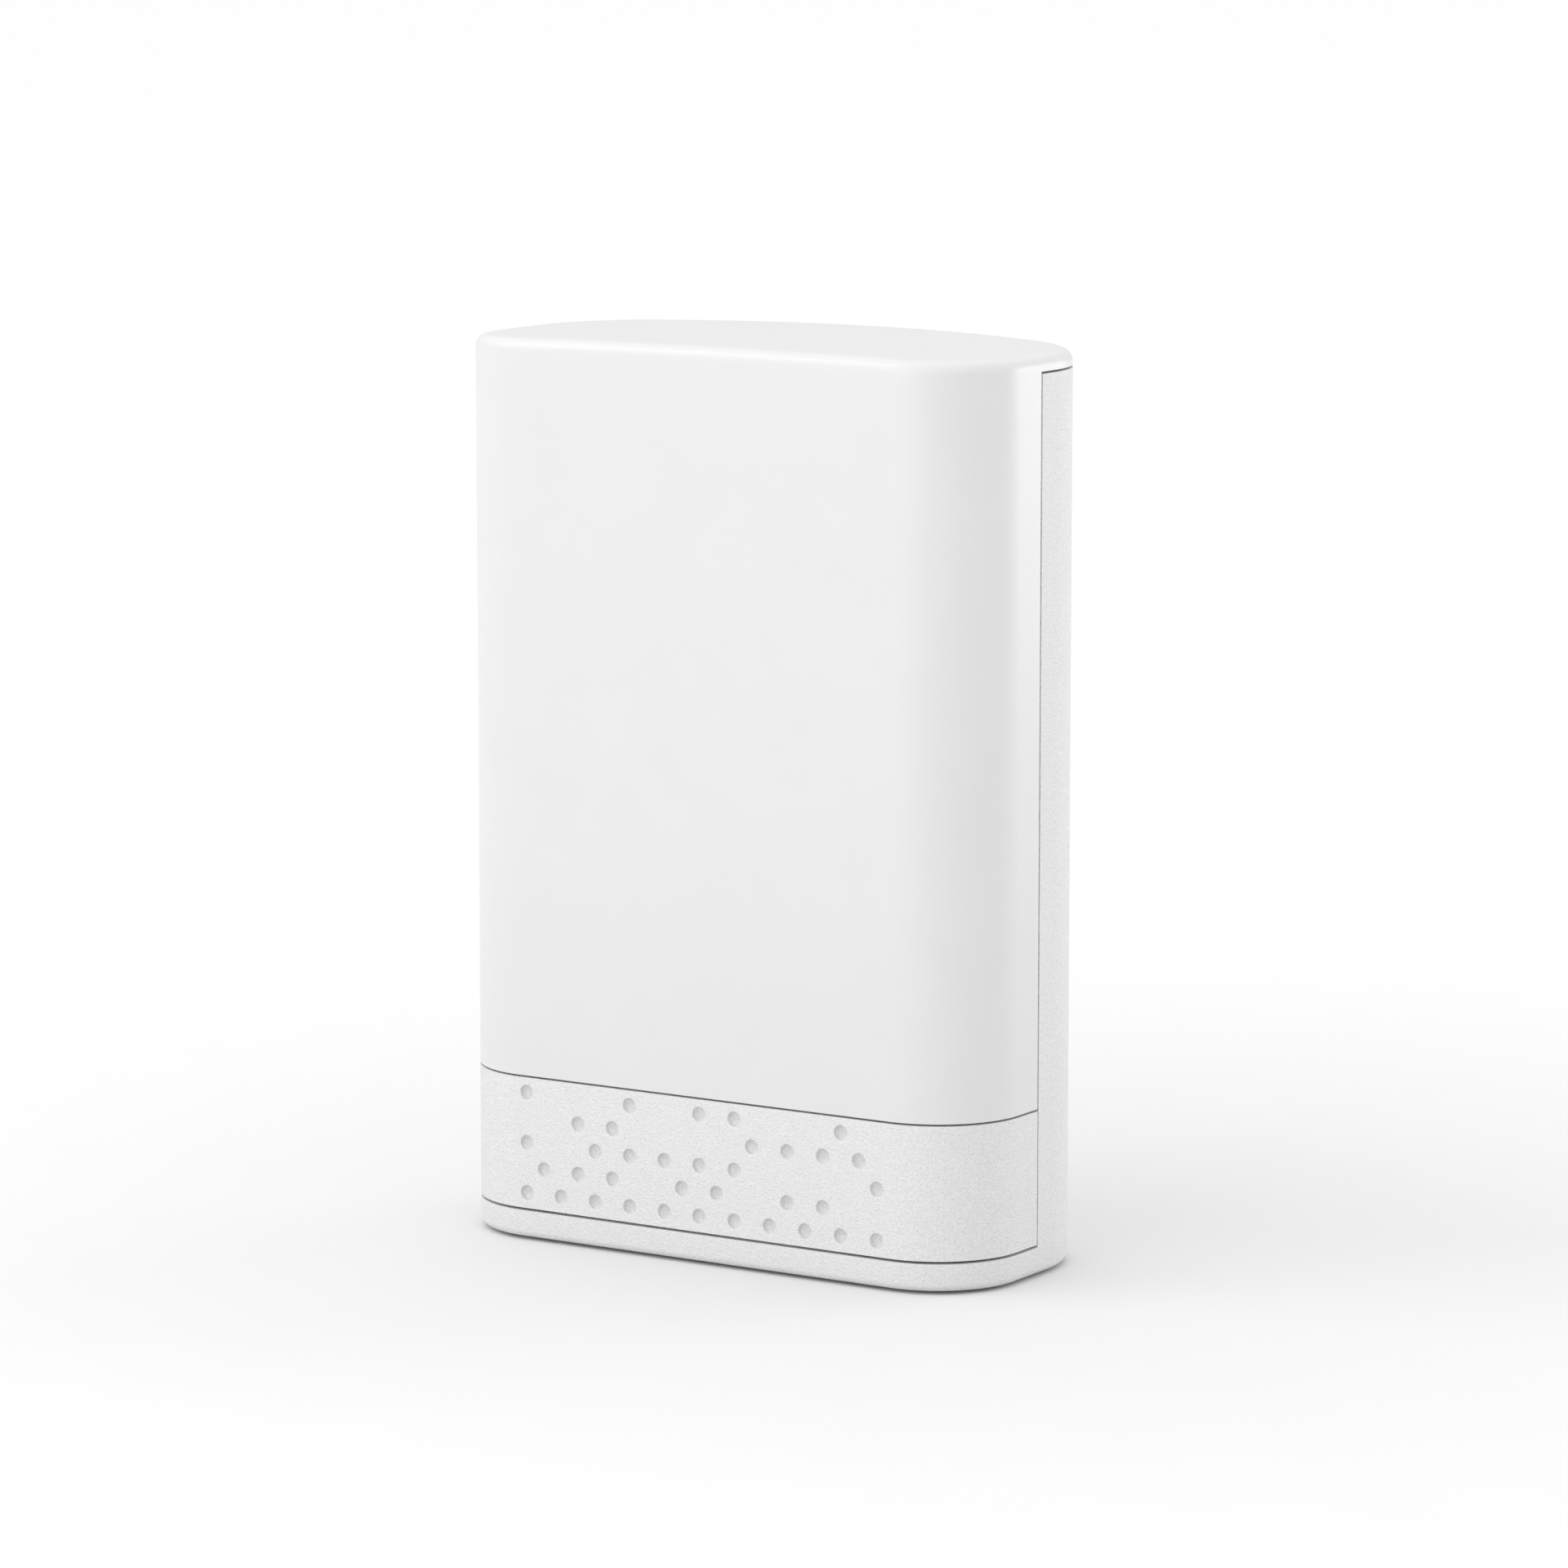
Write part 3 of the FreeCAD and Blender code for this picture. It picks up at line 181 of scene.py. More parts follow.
def soften(piece, width):
    """A small round on every sharp edge, with the flat faces kept flat in their shading."""
    round_off = piece.modifiers.new("edge_round", "BEVEL")
    round_off.width = width
    round_off.segments = 2
    round_off.limit_method = "ANGLE"
    round_off.angle_limit = SHARP_ANGLE
    round_off.harden_normals = True
    round_off.use_clamp_overlap = True


def sweep(centre, radius, start, end):
    """Points of an arc, end points included, at an even step."""
    count = max(2, round(abs(end - start) / ARC_STEP))
    turns = [start + (end - start) * k / count for k in range(count + 1)]
    return [(centre[0] + radius * math.cos(t), centre[1] + radius * math.sin(t)) for t in turns]


def dimple_x(place):
    """The x of a place of the dimple lattice, counted in pitches from its left end."""
    return DIMPLE_SHIFT + DIMPLE_PITCH * (place - DIMPLE_MIDDLE)


def front_columns():
    """The x of the upright grid lines of the flat front: two for each half pitch of the dimple lattice."""
    places = [k / 2 for k in range(4 * DIMPLE_MIDDLE + 1)]
    return [dimple_x(place) + side for place in places for side in (-DIMPLE_CELL, DIMPLE_CELL)]


def plan(inset):
    """The outline seen from above, moved inwards by inset, from the right split round the front to the left
    split and back round the rear. Every inset gives the same number of points, in the same order. The bowed
    back is an arc of radius bow that meets the back corners without a kink."""
    front_x, front_y = HALF - FRONT_CORNER, FRONT + FRONT_CORNER
    back_x = HALF - BACK_CORNER
    drop = SIDE_END - BACK
    bow = (BACK_CORNER**2 - back_x**2 - drop**2) / (2 * (drop + BACK_CORNER))
    lean = math.atan2(SIDE_END - (BACK - bow), back_x)
    small, large = FRONT_CORNER - inset, BACK_CORNER - inset
    quarter = math.pi / 2
    side = HALF - inset
    points = [(side, SPLIT), (side, SPLIT - SEAM)]
    points += sweep((front_x, front_y), small, 0, -quarter)
    points += [(x, FRONT + inset) for x in reversed(front_columns())]
    points += sweep((-front_x, front_y), small, -quarter, -math.pi)
    points += [(-side, SPLIT - SEAM), (-side, SPLIT)]
    points += sweep((-back_x, SIDE_END), large, math.pi, math.pi - lean)
    points += sweep((0, BACK - bow), bow - inset, math.pi - lean, lean)[1:-1]
    points += sweep((back_x, SIDE_END), large, lean, 0)
    return points


OUTER = plan(0)
COUNT = len(OUTER)
LEFT_SEAM = next(i for i in range(2, COUNT) if OUTER[i] == (-HALF, SPLIT - SEAM))
LEFT_SPLIT = LEFT_SEAM + 1
COVER_SIDE = range(1, LEFT_SEAM + 1)
BASE_SIDE = range(0, LEFT_SPLIT + 1)
SPINE_SIDE = [*range(LEFT_SPLIT, COUNT), 0]
WHOLE = [*range(COUNT), 0]


def level(bm, inset, height):
    """One ring of vertices round the plan; height is a number or a function of x."""
    rise = height if callable(height) else lambda x: height
    return [bm.verts.new((x, y, rise(x))) for x, y in plan(inset)]


def walls(bm, lower, upper, places):
    """Quads between two rings, along a run of places."""
    for i, j in zip(places[:-1], places[1:]):
        bm.faces.new((lower[i], lower[j], upper[j], upper[i]))


def end_wall(bm, place, outer, inner):
    """The cut end of a shell at one place of the plan, between its outer and inner rings."""
    column = [ring[place] for ring in outer] + [ring[place] for ring in reversed(inner)]
    bm.faces.new(column)


def crown(x):
    """The height of the cover's top at x."""
    return TOP - CROWN * (x / HALF) ** 2


def crowned_cap(bm, ring):
    """Closes the crowned top: rings that draw in from the rounded edge to a narrow strip down the middle."""
    steps = 10
    spine = HALF * 0.5
    last = ring
    for k in range(1, steps):
        share = k / steps
        inner = []
        for vertex in ring:
            x = vertex.co.x + (max(-spine, min(spine, vertex.co.x)) - vertex.co.x) * share
            y = vertex.co.y * (1 - share)
            inner.append(bm.verts.new((x, y, crown(x))))
        walls(bm, last, inner, WHOLE)
        last = inner
    bmesh.ops.triangulate(bm, faces=[bm.faces.new(last)])


def round_levels(bm, radius, base, sign):
    """Rings of a quarter round from an upright wall towards the middle of the plan, upwards or downwards."""
    steps = 8
    rings = []
    for k in range(steps + 1):
        turn = math.pi / 2 * k / steps
        rise = radius * math.sin(turn) * sign
        start = base if callable(base) else lambda x: base
        rings.append(level(bm, radius * (1 - math.cos(turn)), lambda x: start(x) + rise))
    return rings


def make_cover(material):
    """Smooth cover: front and sides down to the band, and the whole crowned top with its rounded edge."""
    bm = bmesh.new()
    low, lip, ceiling = COVER_LOW.z, SPINE_TOP + SEAM, TOP - CROWN - WALL
    outer = [level(bm, 0, low), level(bm, 0, lip)]
    inner = [level(bm, WALL, low), level(bm, WALL, lip), level(bm, WALL, ceiling)]
    edge = round_levels(bm, CROWN_ROUND, lambda x: crown(x) - CROWN_ROUND, 1)
    walls(bm, outer[0], outer[1], COVER_SIDE)
    walls(bm, outer[1], edge[0], WHOLE)
    for below, above in zip(edge, edge[1:]):
        walls(bm, below, above, WHOLE)
    crowned_cap(bm, edge[-1])
    walls(bm, inner[0], inner[1], COVER_SIDE)
    walls(bm, inner[1], inner[2], WHOLE)
    bm.faces.new(inner[2])
    walls(bm, outer[0], inner[0], COVER_SIDE)
    walls(bm, outer[1], inner[1], [LEFT_SEAM, *SPINE_SIDE, 1])
    for place in (1, LEFT_SEAM):
        end_wall(bm, place, outer, inner[:2])
    remove_loose(bm)
    piece = new_piece(bm, "cover_skin", material)
    combine(piece, clip_arms(), "UNION")
    shade(piece)
    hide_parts("front_cover")


def remove_loose(bm):
    """Deletes ring vertices that no face uses."""
    bmesh.ops.delete(bm, geom=[v for v in bm.verts if not v.link_faces], context="VERTS")


def dimple_profile():
    """(radius, depth) pairs of a dimple from its rim inwards: a small round, a short wall and a bowl."""
    rim_steps, bowl_steps = 6, 10
    profile = []
    for k in range(rim_steps + 1):
        turn = math.pi / 2 * k / rim_steps
        out, down = 1 - math.sin(turn), 1 - math.cos(turn)
        profile.append((DIMPLE_RADIUS + DIMPLE_SOFT * out, DIMPLE_SOFT * down))
    bowl = DIMPLE_DEEP - DIMPLE_WALL
    for k in range(bowl_steps):
        turn = math.pi / 2 * k / bowl_steps
        profile.append((DIMPLE_RADIUS * math.cos(turn), DIMPLE_WALL + bowl * math.sin(turn)))
    return profile


def dimple_cell(bm, corners, x, z):
    """Fills one cell of the front with a dimple: flat round about it, then its rim and bowl."""
    around = 48
    turns = [2 * math.pi * k / around for k in range(around)]
    rings = []
    for radius, depth in dimple_profile():
        circle = [(x + radius * math.cos(t), FRONT + depth, z + radius * math.sin(t)) for t in turns]
        rings.append([bm.verts.new(point) for point in circle])
    for outer, inner in zip(rings, rings[1:]):
        for k in range(around):
            after = (k + 1) % around
            bm.faces.new((outer[k], outer[after], inner[after], inner[k]))
    bottom = bm.verts.new((x, FRONT + DIMPLE_DEEP, z))
    for k in range(around):
        bm.faces.new((rings[-1][k], rings[-1][(k + 1) % around], bottom))
    quarter = around // 4
    for side in range(4):
        first = quarter * side - quarter // 2
        rim = [rings[0][(first + k) % around] for k in range(quarter, -1, -1)]
        bm.faces.new([corners[(side - 1) % 4], corners[side], *rim])


def first_column(place):
    """The place in the plan where the cell of a dimple starts."""
    start = (dimple_x(place) + DIMPLE_CELL, FRONT)
    return min(range(COUNT), key=lambda i: math.dist(OUTER[i], start))


def make_band(material):
    """Grained band with its scatter of dimples."""
    bm = bmesh.new()
    heights = [BAND_LOW.z]
    heights += [DIMPLE_LOW + (row - 0.5) * DIMPLE_ROW for row in range(len(DIMPLE_ROWS) + 1)]
    heights.append(BAND_TOP)
    outer = [level(bm, 0, z) for z in heights]
    inner = [level(bm, WALL, BAND_LOW.z), level(bm, WALL, BAND_TOP)]
    for row, places in enumerate([(), *DIMPLE_ROWS, ()]):
        below, above = outer[row], outer[row + 1]
        filled = {first_column(place): place for place in places}
        for i in COVER_SIDE[:-1]:
            if i in filled:
                corners = (above[i], above[i + 1], below[i + 1], below[i])
                dimple_cell(bm, corners, dimple_x(filled[i]), DIMPLE_LOW + (row - 1) * DIMPLE_ROW)
            else:
                bm.faces.new((below[i], below[i + 1], above[i + 1], above[i]))
    walls(bm, inner[0], inner[1], COVER_SIDE)
    walls(bm, outer[0], inner[0], COVER_SIDE)
    walls(bm, outer[-1], inner[-1], COVER_SIDE)
    for place in (1, LEFT_SEAM):
        end_wall(bm, place, outer, inner)
    remove_loose(bm)
    piece = new_piece(bm, "band_skin", material)
    root, step, tip = BAND_TOP - BAND_TONGUE_ROOT, BAND_TOP - INTO_WALL, BAND_TOP + BAND_TONGUE_RISE
    combine(piece, [upright_tongue(root, step, tip)], "UNION")
    shade(piece)
    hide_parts("front_band")


def block(low, high):
    """A plain box mesh object, for use as a cutter or an addition."""
    bm = bmesh.new()
    bmesh.ops.create_cube(bm, size=1)
    for vertex in bm.verts:
        for axis in range(3):
            vertex.co[axis] = low[axis] if vertex.co[axis] < 0 else high[axis]
    return loose_object(bm)


def drum(x, y, z, radius, along):
    """A cylinder along Y or Z, where that coordinate is a pair of limits."""
    bm = bmesh.new()
    low, high = y if along == "Y" else z
    bmesh.ops.create_cone(bm, cap_ends=True, segments=64, radius1=radius, radius2=radius, depth=high - low)
    if along == "Y":
        bmesh.ops.rotate(bm, verts=bm.verts, matrix=Matrix.Rotation(math.pi / 2, 3, "X"))
        bmesh.ops.translate(bm, verts=bm.verts, vec=(x, (low + high) / 2, z))
    else:
        bmesh.ops.translate(bm, verts=bm.verts, vec=(x, y, (low + high) / 2))
    return loose_object(bm)


def prism(corners, low, high, along="Z"):
    """A closed prism between two levels of Z, on (x, y) corners, or of X, on (y, z) corners."""
    bm = bmesh.new()
    ends = []
    for value in (low, high):
        points = [(*corner, value) if along == "Z" else (value, *corner) for corner in corners]
        ends.append([bm.verts.new(point) for point in points])
        bm.faces.new(ends[-1])
    for i, j in zip(range(len(corners)), [*range(1, len(corners)), 0]):
        bm.faces.new((ends[0][i], ends[0][j], ends[1][j], ends[1][i]))
    bmesh.ops.recalc_face_normals(bm, faces=bm.faces)
    return loose_object(bm)


def beside_split(section):
    """The (x, y) corners of a section given in mm, once for each side of the case."""
    left = [(inwards * MM - HALF, SPLIT + back * MM) for inwards, back in section]
    return left, [(-x, y) for x, y in left]


def clip_arms():
    """The cover's snap arms, three to a side, which hook behind the housing's lips."""
    shapes = beside_split(ARM_SECTION)
    return [prism(shape, z - ARM_HALF, z + ARM_HALF) for shape in shapes for z in ARM_HEIGHTS]


def housing_lips():
    """The housing's inner lips along the split, one to a side."""
    return [prism(shape, BASE_FLOOR - INTO_WALL, SPINE_TOP) for shape in beside_split(LIP_SECTION)]


def upright_tongue(low, step, tip):
    """A tongue behind the front wall, rooted in it from low to step and free from there up to tip."""
    root, near = FRONT + WALL - INTO_WALL, FRONT + WALL + TONGUE_GAP
    far = near + TONGUE_THICK
    corners = ((root, low), (far, low), (far, tip), (near, tip), (near, step), (root, step))
    return prism(corners, -TONGUE_HALF, TONGUE_HALF, "X")


def combine(base, tools, operation):
    """Adds or cuts each tool in turn, then takes the tools away."""
    for tool in tools:
        step = base.modifiers.new("step", "BOOLEAN")
        step.solver = "EXACT"
        step.operation = operation
        step.object = tool
    bpy.context.view_layer.update()
    result = bpy.data.meshes.new_from_object(base.evaluated_get(bpy.context.evaluated_depsgraph_get()))
    base.modifiers.clear()
    base.data = result
    for tool in tools:
        bpy.data.objects.remove(tool)


def port_cutters():
    """The openings in the port panel, each a little clear of what it holds."""
    start, end = PANEL_IN - CUT_PAST, PANEL_OUT + CUT_PAST
    cutters = []
    for node in ("dc_jack_body", "usb_shell", *(jack + "_shield" for jack in JACKS)):
        low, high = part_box(node)
        near = (low.x - PORT_ROOM, start, low.z - PORT_ROOM)
        cutters.append(block(near, (high.x + PORT_ROOM, end, high.z + PORT_ROOM)))
    low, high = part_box("power_button")
    trim = KEY_RIM - PORT_ROOM
    cutters.append(block((low.x + trim, start, low.z + trim), (high.x - trim, end, high.z - trim)))
    for node, radius in (("wps_button", PAIRING_HOLE), ("reset_plunger", RESET_HOLE)):
        low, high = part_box(node)
        cutters.append(drum(0, (start, end), (low.z + high.z) / 2, radius, "Y"))
    return cutters


def vent_cutters():
    """The level slots above the port recess, and two rows of slots through the base."""
    cutters = []
    across, rise = BACK_VENT_WIDE / 2, BACK_VENT_HIGH / 2
    for n in range(BACK_VENTS):
        z = BACK_VENT_FIRST + BACK_VENT_PITCH * n
        near = (-across, BACK - BACK_VENT_DEEP, z - rise)
        cutters.append(block(near, (across, BACK + CUT_PAST, z + rise)))
    half, reach = BASE_VENT_WIDE / 2, BASE_VENT_LONG / 2
    for n in range(BASE_VENTS):
        x = BASE_VENT_PITCH * (n - BASE_VENTS // 2)
        for y in BASE_VENT_ROWS:
            top = (x + half, y + reach, BASE_FLOOR + CUT_PAST)
            cutters.append(block((x - half, y - reach, -CUT_PAST), top))
    return cutters


def base_wells():
    """The wells of the feet, and the counterbored holes of the case screws."""
    cutters = []
    for x, y in FOOT_PLACES:
        cutters.append(drum(x, y, (-CUT_PAST, BASE_LOW + FOOT_WELL_DEEP), FOOT_WELL_RADIUS, "Z"))
    for x in SCREW_PLACES:
        cutters.append(drum(x, 0, (-CUT_PAST, BASE_LOW + SCREW_WELL_DEEP), SCREW_WELL_RADIUS, "Z"))
        cutters.append(drum(x, 0, (-2 * CUT_PAST, BASE_FLOOR + CUT_PAST), SCREW_HOLE, "Z"))
    return cutters


def make_housing(material):
    """Grained housing in one piece: bowed back and sides, and the base with its rounded lower edge."""
    bm = bmesh.new()
    edge = round_levels(bm, BASE_ROUND, BASE_LOW + BASE_ROUND, -1)
    outer = [edge[0], level(bm, 0, BASE_TOP), level(bm, 0, SPINE_TOP)]
    inner = [level(bm, WALL, BASE_FLOOR), level(bm, WALL, BASE_TOP), level(bm, WALL, SPINE_TOP)]
    for above, below in zip(edge, edge[1:]):
        walls(bm, below, above, WHOLE)
    bm.faces.new(edge[-1])
    walls(bm, outer[0], outer[1], WHOLE)
    walls(bm, outer[1], outer[2], SPINE_SIDE)
    bm.faces.new(inner[0])
    walls(bm, inner[0], inner[1], WHOLE)
    walls(bm, inner[1], inner[2], SPINE_SIDE)
    walls(bm, outer[1], inner[1], BASE_SIDE)
    walls(bm, outer[2], inner[2], SPINE_SIDE)
    for place in (0, LEFT_SPLIT):
        end_wall(bm, place, outer[1:], inner[1:])
    remove_loose(bm)
    piece = new_piece(bm, "housing_skin", material)
    half = RECESS_HALF + WALL
    pocket = block((-half, PANEL_IN, RECESS_LOW - WALL), (half, POCKET_BACK, RECESS_HIGH + WALL))
    tongue = upright_tongue(BASE_FLOOR - INTO_WALL, BASE_TOP - INTO_WALL, BASE_TOP + BASE_TONGUE_RISE)
    combine(piece, [pocket, *housing_lips(), tongue], "UNION")
    recess = block((-RECESS_HALF, PANEL_OUT, RECESS_LOW), (RECESS_HALF, BACK + CUT_PAST, RECESS_HIGH))
    combine(piece, [recess, *port_cutters(), *vent_cutters(), *base_wells()], "DIFFERENCE")
    shade(piece)
    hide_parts("rear_housing")


# ---------------------------------------------------------------- materials
TONE_SCALE = 60
# The floor's colour holds painted shade: darker near the router, fading to its own pale tone between the two
# distances of the fade, in metres.
FLOOR_PAINTED_SHADE = 0.74
FLOOR_FAR = 0.895
FLOOR_SHADE_FADE = (0.15, 0.9)


def new_material(name):
    """A material with its tree, its shader and the object coordinates that its textures use."""
    material = bpy.data.materials.new(name)
    material.use_nodes = True
    tree = material.node_tree
    shader = tree.nodes["Principled BSDF"]
    coordinates = tree.nodes.new("ShaderNodeTexCoord")
    return material, tree, shader, coordinates.outputs["Object"]


def noise(tree, place, scale, detail=3.0, stretch=None):
    """A noise texture in object space; scale is in cells per metre."""
    if stretch:
        mapping = tree.nodes.new("ShaderNodeMapping")
        mapping.inputs["Scale"].default_value = stretch
        tree.links.new(place, mapping.inputs["Vector"])
        place = mapping.outputs["Vector"]
    texture = tree.nodes.new("ShaderNodeTexNoise")
    texture.inputs["Scale"].default_value = scale
    texture.inputs["Detail"].default_value = detail
    tree.links.new(place, texture.inputs["Vector"])
    return texture.outputs["Fac"]


def spread(tree, source, low, high, from_low=0.3, from_high=0.7):
    """Maps a texture's middle range onto low to high."""
    mapper = tree.nodes.new("ShaderNodeMapRange")
    mapper.inputs["From Min"].default_value = from_low
    mapper.inputs["From Max"].default_value = from_high
    mapper.inputs["To Min"].default_value = low
    mapper.inputs["To Max"].default_value = high
    tree.links.new(source, mapper.inputs["Value"])
    return mapper.outputs["Result"]


def tint(tree, source, dark, light):
    """A colour between two, by a texture's value."""
    mix = tree.nodes.new("ShaderNodeMix")
    mix.data_type = "RGBA"
    mix.inputs["A"].default_value = (*dark, 1)
    mix.inputs["B"].default_value = (*light, 1)
    tree.links.new(source, mix.inputs["Factor"])
    return mix.outputs["Result"]


def bump(tree, shader, height, distance):
    """Relief of the given height in metres, from a texture."""
    node = tree.nodes.new("ShaderNodeBump")
    node.inputs["Distance"].default_value = distance
    tree.links.new(height, node.inputs["Height"])
    tree.links.new(node.outputs["Normal"], shader.inputs["Normal"])


def moulded(name, dark, light, rough, grain, depth):
    """Moulded plastic: a faint large-scale tone drift, a grain of the given pitch in cells per metre, and a
    roughness that follows the grain."""
    material, tree, shader, place = new_material(name)
    drift = noise(tree, place, TONE_SCALE, 2.0)
    tree.links.new(tint(tree, spread(tree, drift, 0, 1), dark, light), shader.inputs["Base Color"])
    texture = noise(tree, place, grain, 2.0)
    tree.links.new(spread(tree, texture, *rough), shader.inputs["Roughness"])
    bump(tree, shader, texture, depth)
    return material


def grained_plastic():
    """Spark-eroded white: two grains of different pitch, in the relief and faintly in the colour."""
    material, tree, shader, place = new_material("grained_white")
    fine = noise(tree, place, 2300, 1.0)
    coarse = noise(tree, place, 1700, 2.0)
    mix = tree.nodes.new("ShaderNodeMath")
    mix.operation = "ADD"
    tree.links.new(fine, mix.inputs[0])
    tree.links.new(coarse, mix.inputs[1])
    tone = spread(tree, mix.outputs["Value"], 0, 1, 0.75, 1.25)
    colour = tint(tree, tone, (0.655, 0.655, 0.652), (0.745, 0.745, 0.742))
    tree.links.new(colour, shader.inputs["Base Color"])
    tree.links.new(spread(tree, fine, 0.5, 0.66), shader.inputs["Roughness"])
    bump(tree, shader, mix.outputs["Value"], 0.2 * MM)
    return material


def solder_mask():
    """Green board: darker traces between lighter copper pours under the mask."""
    material, tree, shader, place = new_material("solder_mask")
    traces = tree.nodes.new("ShaderNodeTexVoronoi")
    traces.feature = "DISTANCE_TO_EDGE"
    traces.inputs["Scale"].default_value = 260
    tree.links.new(place, traces.inputs["Vector"])
    lines = spread(tree, traces.outputs["Distance"], 0, 1, 0.04, 0.08)
    tree.links.new(tint(tree, lines, (0.012, 0.10, 0.04), (0.02, 0.17, 0.07)), shader.inputs["Base Color"])
    tree.links.new(spread(tree, noise(tree, place, 500), 0.28, 0.4), shader.inputs["Roughness"])
    bump(tree, shader, lines, 0.02 * MM)
    return material


def metal(name, dark, light, rough, stretch=(1, 1, 12)):
    """Rolled or drawn metal: fine streaks in tone, roughness and relief."""
    material, tree, shader, place = new_material(name)
    streaks = noise(tree, place, 900, 4.0, stretch)
    tree.links.new(tint(tree, spread(tree, streaks, 0, 1), dark, light), shader.inputs["Base Color"])
    tree.links.new(spread(tree, streaks, *rough), shader.inputs["Roughness"])
    shader.inputs["Metallic"].default_value = 1.0
    bump(tree, shader, streaks, 0.004 * MM)
    return material


def clear_plastic():
    """Clear acrylic with slight flow marks."""
    material, tree, shader, place = new_material("clear_acrylic")
    shader.inputs["Base Color"].default_value = (0.95, 0.97, 0.97, 1)
    shader.inputs["Transmission Weight"].default_value = 1.0
    shader.inputs["IOR"].default_value = 1.49
    flow = noise(tree, place, 200)
    tree.links.new(spread(tree, flow, 0.05, 0.12), shader.inputs["Roughness"])
    bump(tree, shader, flow, 0.005 * MM)
    return material


def floor_paint_and_painted_shade():
    """Matt pale paint with a faint mottle, and painted shade: its colour is darker near the router and
    lightens outwards.
    """
    material, tree, shader, place = new_material("pale_floor_with_painted_shade")
    reach = tree.nodes.new("ShaderNodeVectorMath")
    reach.operation = "LENGTH"
    tree.links.new(place, reach.inputs[0])
    # painted shade: the floor's colour goes from the near tone at 0.15 m from the router to the far tone at
    # 0.9 m
    far = spread(tree, reach.outputs["Value"], 0, 1, *FLOOR_SHADE_FADE)
    mottle = spread(tree, noise(tree, place, 40), -0.02, 0.02)
    mix = tree.nodes.new("ShaderNodeMath")
    mix.operation = "ADD"
    tree.links.new(far, mix.inputs[0])
    tree.links.new(mottle, mix.inputs[1])
    colour = tint(tree, mix.outputs["Value"], (FLOOR_PAINTED_SHADE,) * 3, (FLOOR_FAR,) * 3)
    tree.links.new(colour, shader.inputs["Base Color"])
    shader.inputs["Roughness"].default_value = 0.8
    shader.inputs["Specular IOR Level"].default_value = 0.1
    return material


def grey(value, lift=1.12):
    """A dark and a light grey, the light one lift times as bright."""
    return (value,) * 3, (value * lift,) * 3


def slot_materials():
    """One material for each slot of the record."""
    blue_dark, blue_light = (0.035, 0.12, 0.3), (0.045, 0.14, 0.34)
    pad_dark, pad_light = (0.28, 0.36, 0.45), (0.33, 0.42, 0.52)
    lamp_dark, lamp_light = (0.78, 0.77, 0.68), (0.84, 0.83, 0.74)
    return {
        "cover_plastic": moulded("smooth_white", (0.67,) * 3, (0.68,) * 3, (0.30, 0.36), 900, 0.002 * MM),
        "grained_plastic": grained_plastic(),
        "frame_plastic": moulded("frame_grey", *grey(0.075), (0.5, 0.62), 1500, 0.02 * MM),
        "board": solder_mask(),
        "cable_jacket": moulded("cable_black", *grey(0.02, 1.4), (0.38, 0.5), 2400, 0.01 * MM),
        "contact_metal": metal("gold_flash", (0.78, 0.55, 0.22), (0.9, 0.68, 0.33), (0.2, 0.32)),
        "shield_metal": metal("tinned_steel", (0.58, 0.58, 0.57), (0.72, 0.72, 0.71), (0.24, 0.4)),
        "wan_plastic": moulded("blue_nylon", blue_dark, blue_light, (0.4, 0.52), 1800, 0.01 * MM),
        "socket_plastic": moulded("black_nylon", *grey(0.03, 1.2), (0.42, 0.55), 1800, 0.01 * MM),
        "key_plastic": moulded("key_grey", *grey(0.36, 1.05), (0.42, 0.55), 2600, 0.03 * MM),
        "chip_resin": moulded("epoxy_black", *grey(0.022, 1.3), (0.5, 0.65), 3200, 0.01 * MM),
        "heat_sink_metal": metal("extruded_aluminium", (0.5, 0.51, 0.52), (0.63, 0.64, 0.65), (0.32, 0.48)),
        "can_metal": metal("bright_can", (0.62, 0.63, 0.65), (0.75, 0.76, 0.78), (0.2, 0.34)),
        "pad_rubber": moulded("gap_filler", pad_dark, pad_light, (0.6, 0.75), 900, 0.03 * MM),
        "screw_steel": metal("zinc_plate", (0.5, 0.5, 0.49), (0.64, 0.64, 0.62), (0.26, 0.4), (1, 1, 1)),
        "pin_plastic": moulded("natural_nylon", *grey(0.66, 1.06), (0.4, 0.52), 1600, 0.01 * MM),
        "foot_rubber": moulded("foot_rubber", *grey(0.045, 1.3), (0.7, 0.85), 1500, 0.05 * MM),
        "label": moulded("label_film", *grey(0.74, 1.04), (0.3, 0.38), 700, 0.003 * MM),
        "clear_plastic": clear_plastic(),
        "led_body": moulded("lamp_body", lamp_dark, lamp_light, (0.2, 0.3), 900, 0.004 * MM),
    }


# ---------------------------------------------------------------- stage
CAMERA_PLACE = Vector((0.815, -1.277, 0.339))
CAMERA_AZIMUTH = math.radians(32.55)
CAMERA_ELEVATION = math.radians(8.79)
CAMERA_LENS = 155.65
SKY_LOW = 0.70
SKY_HIGH = 1.32
# name, azimuth and elevation in degrees, distance, (width, height), radiance
SOFTBOXES = (
    ("front", -10, 20, 1.2, (0.85, 0.8), 1.25),
    ("left_high", -52, 48, 1.8, (0.95, 0.95), 1.75),
    ("right_back", 147, 11, 1.4, (0.8, 0.55), 2.9),
)


def away(azimuth, elevation):
    """Unit vector out from the router; the azimuth turns from the front to the right."""
    level_part = math.cos(elevation)
    return Vector((math.sin(azimuth) * level_part, -math.cos(azimuth) * level_part, math.sin(elevation)))


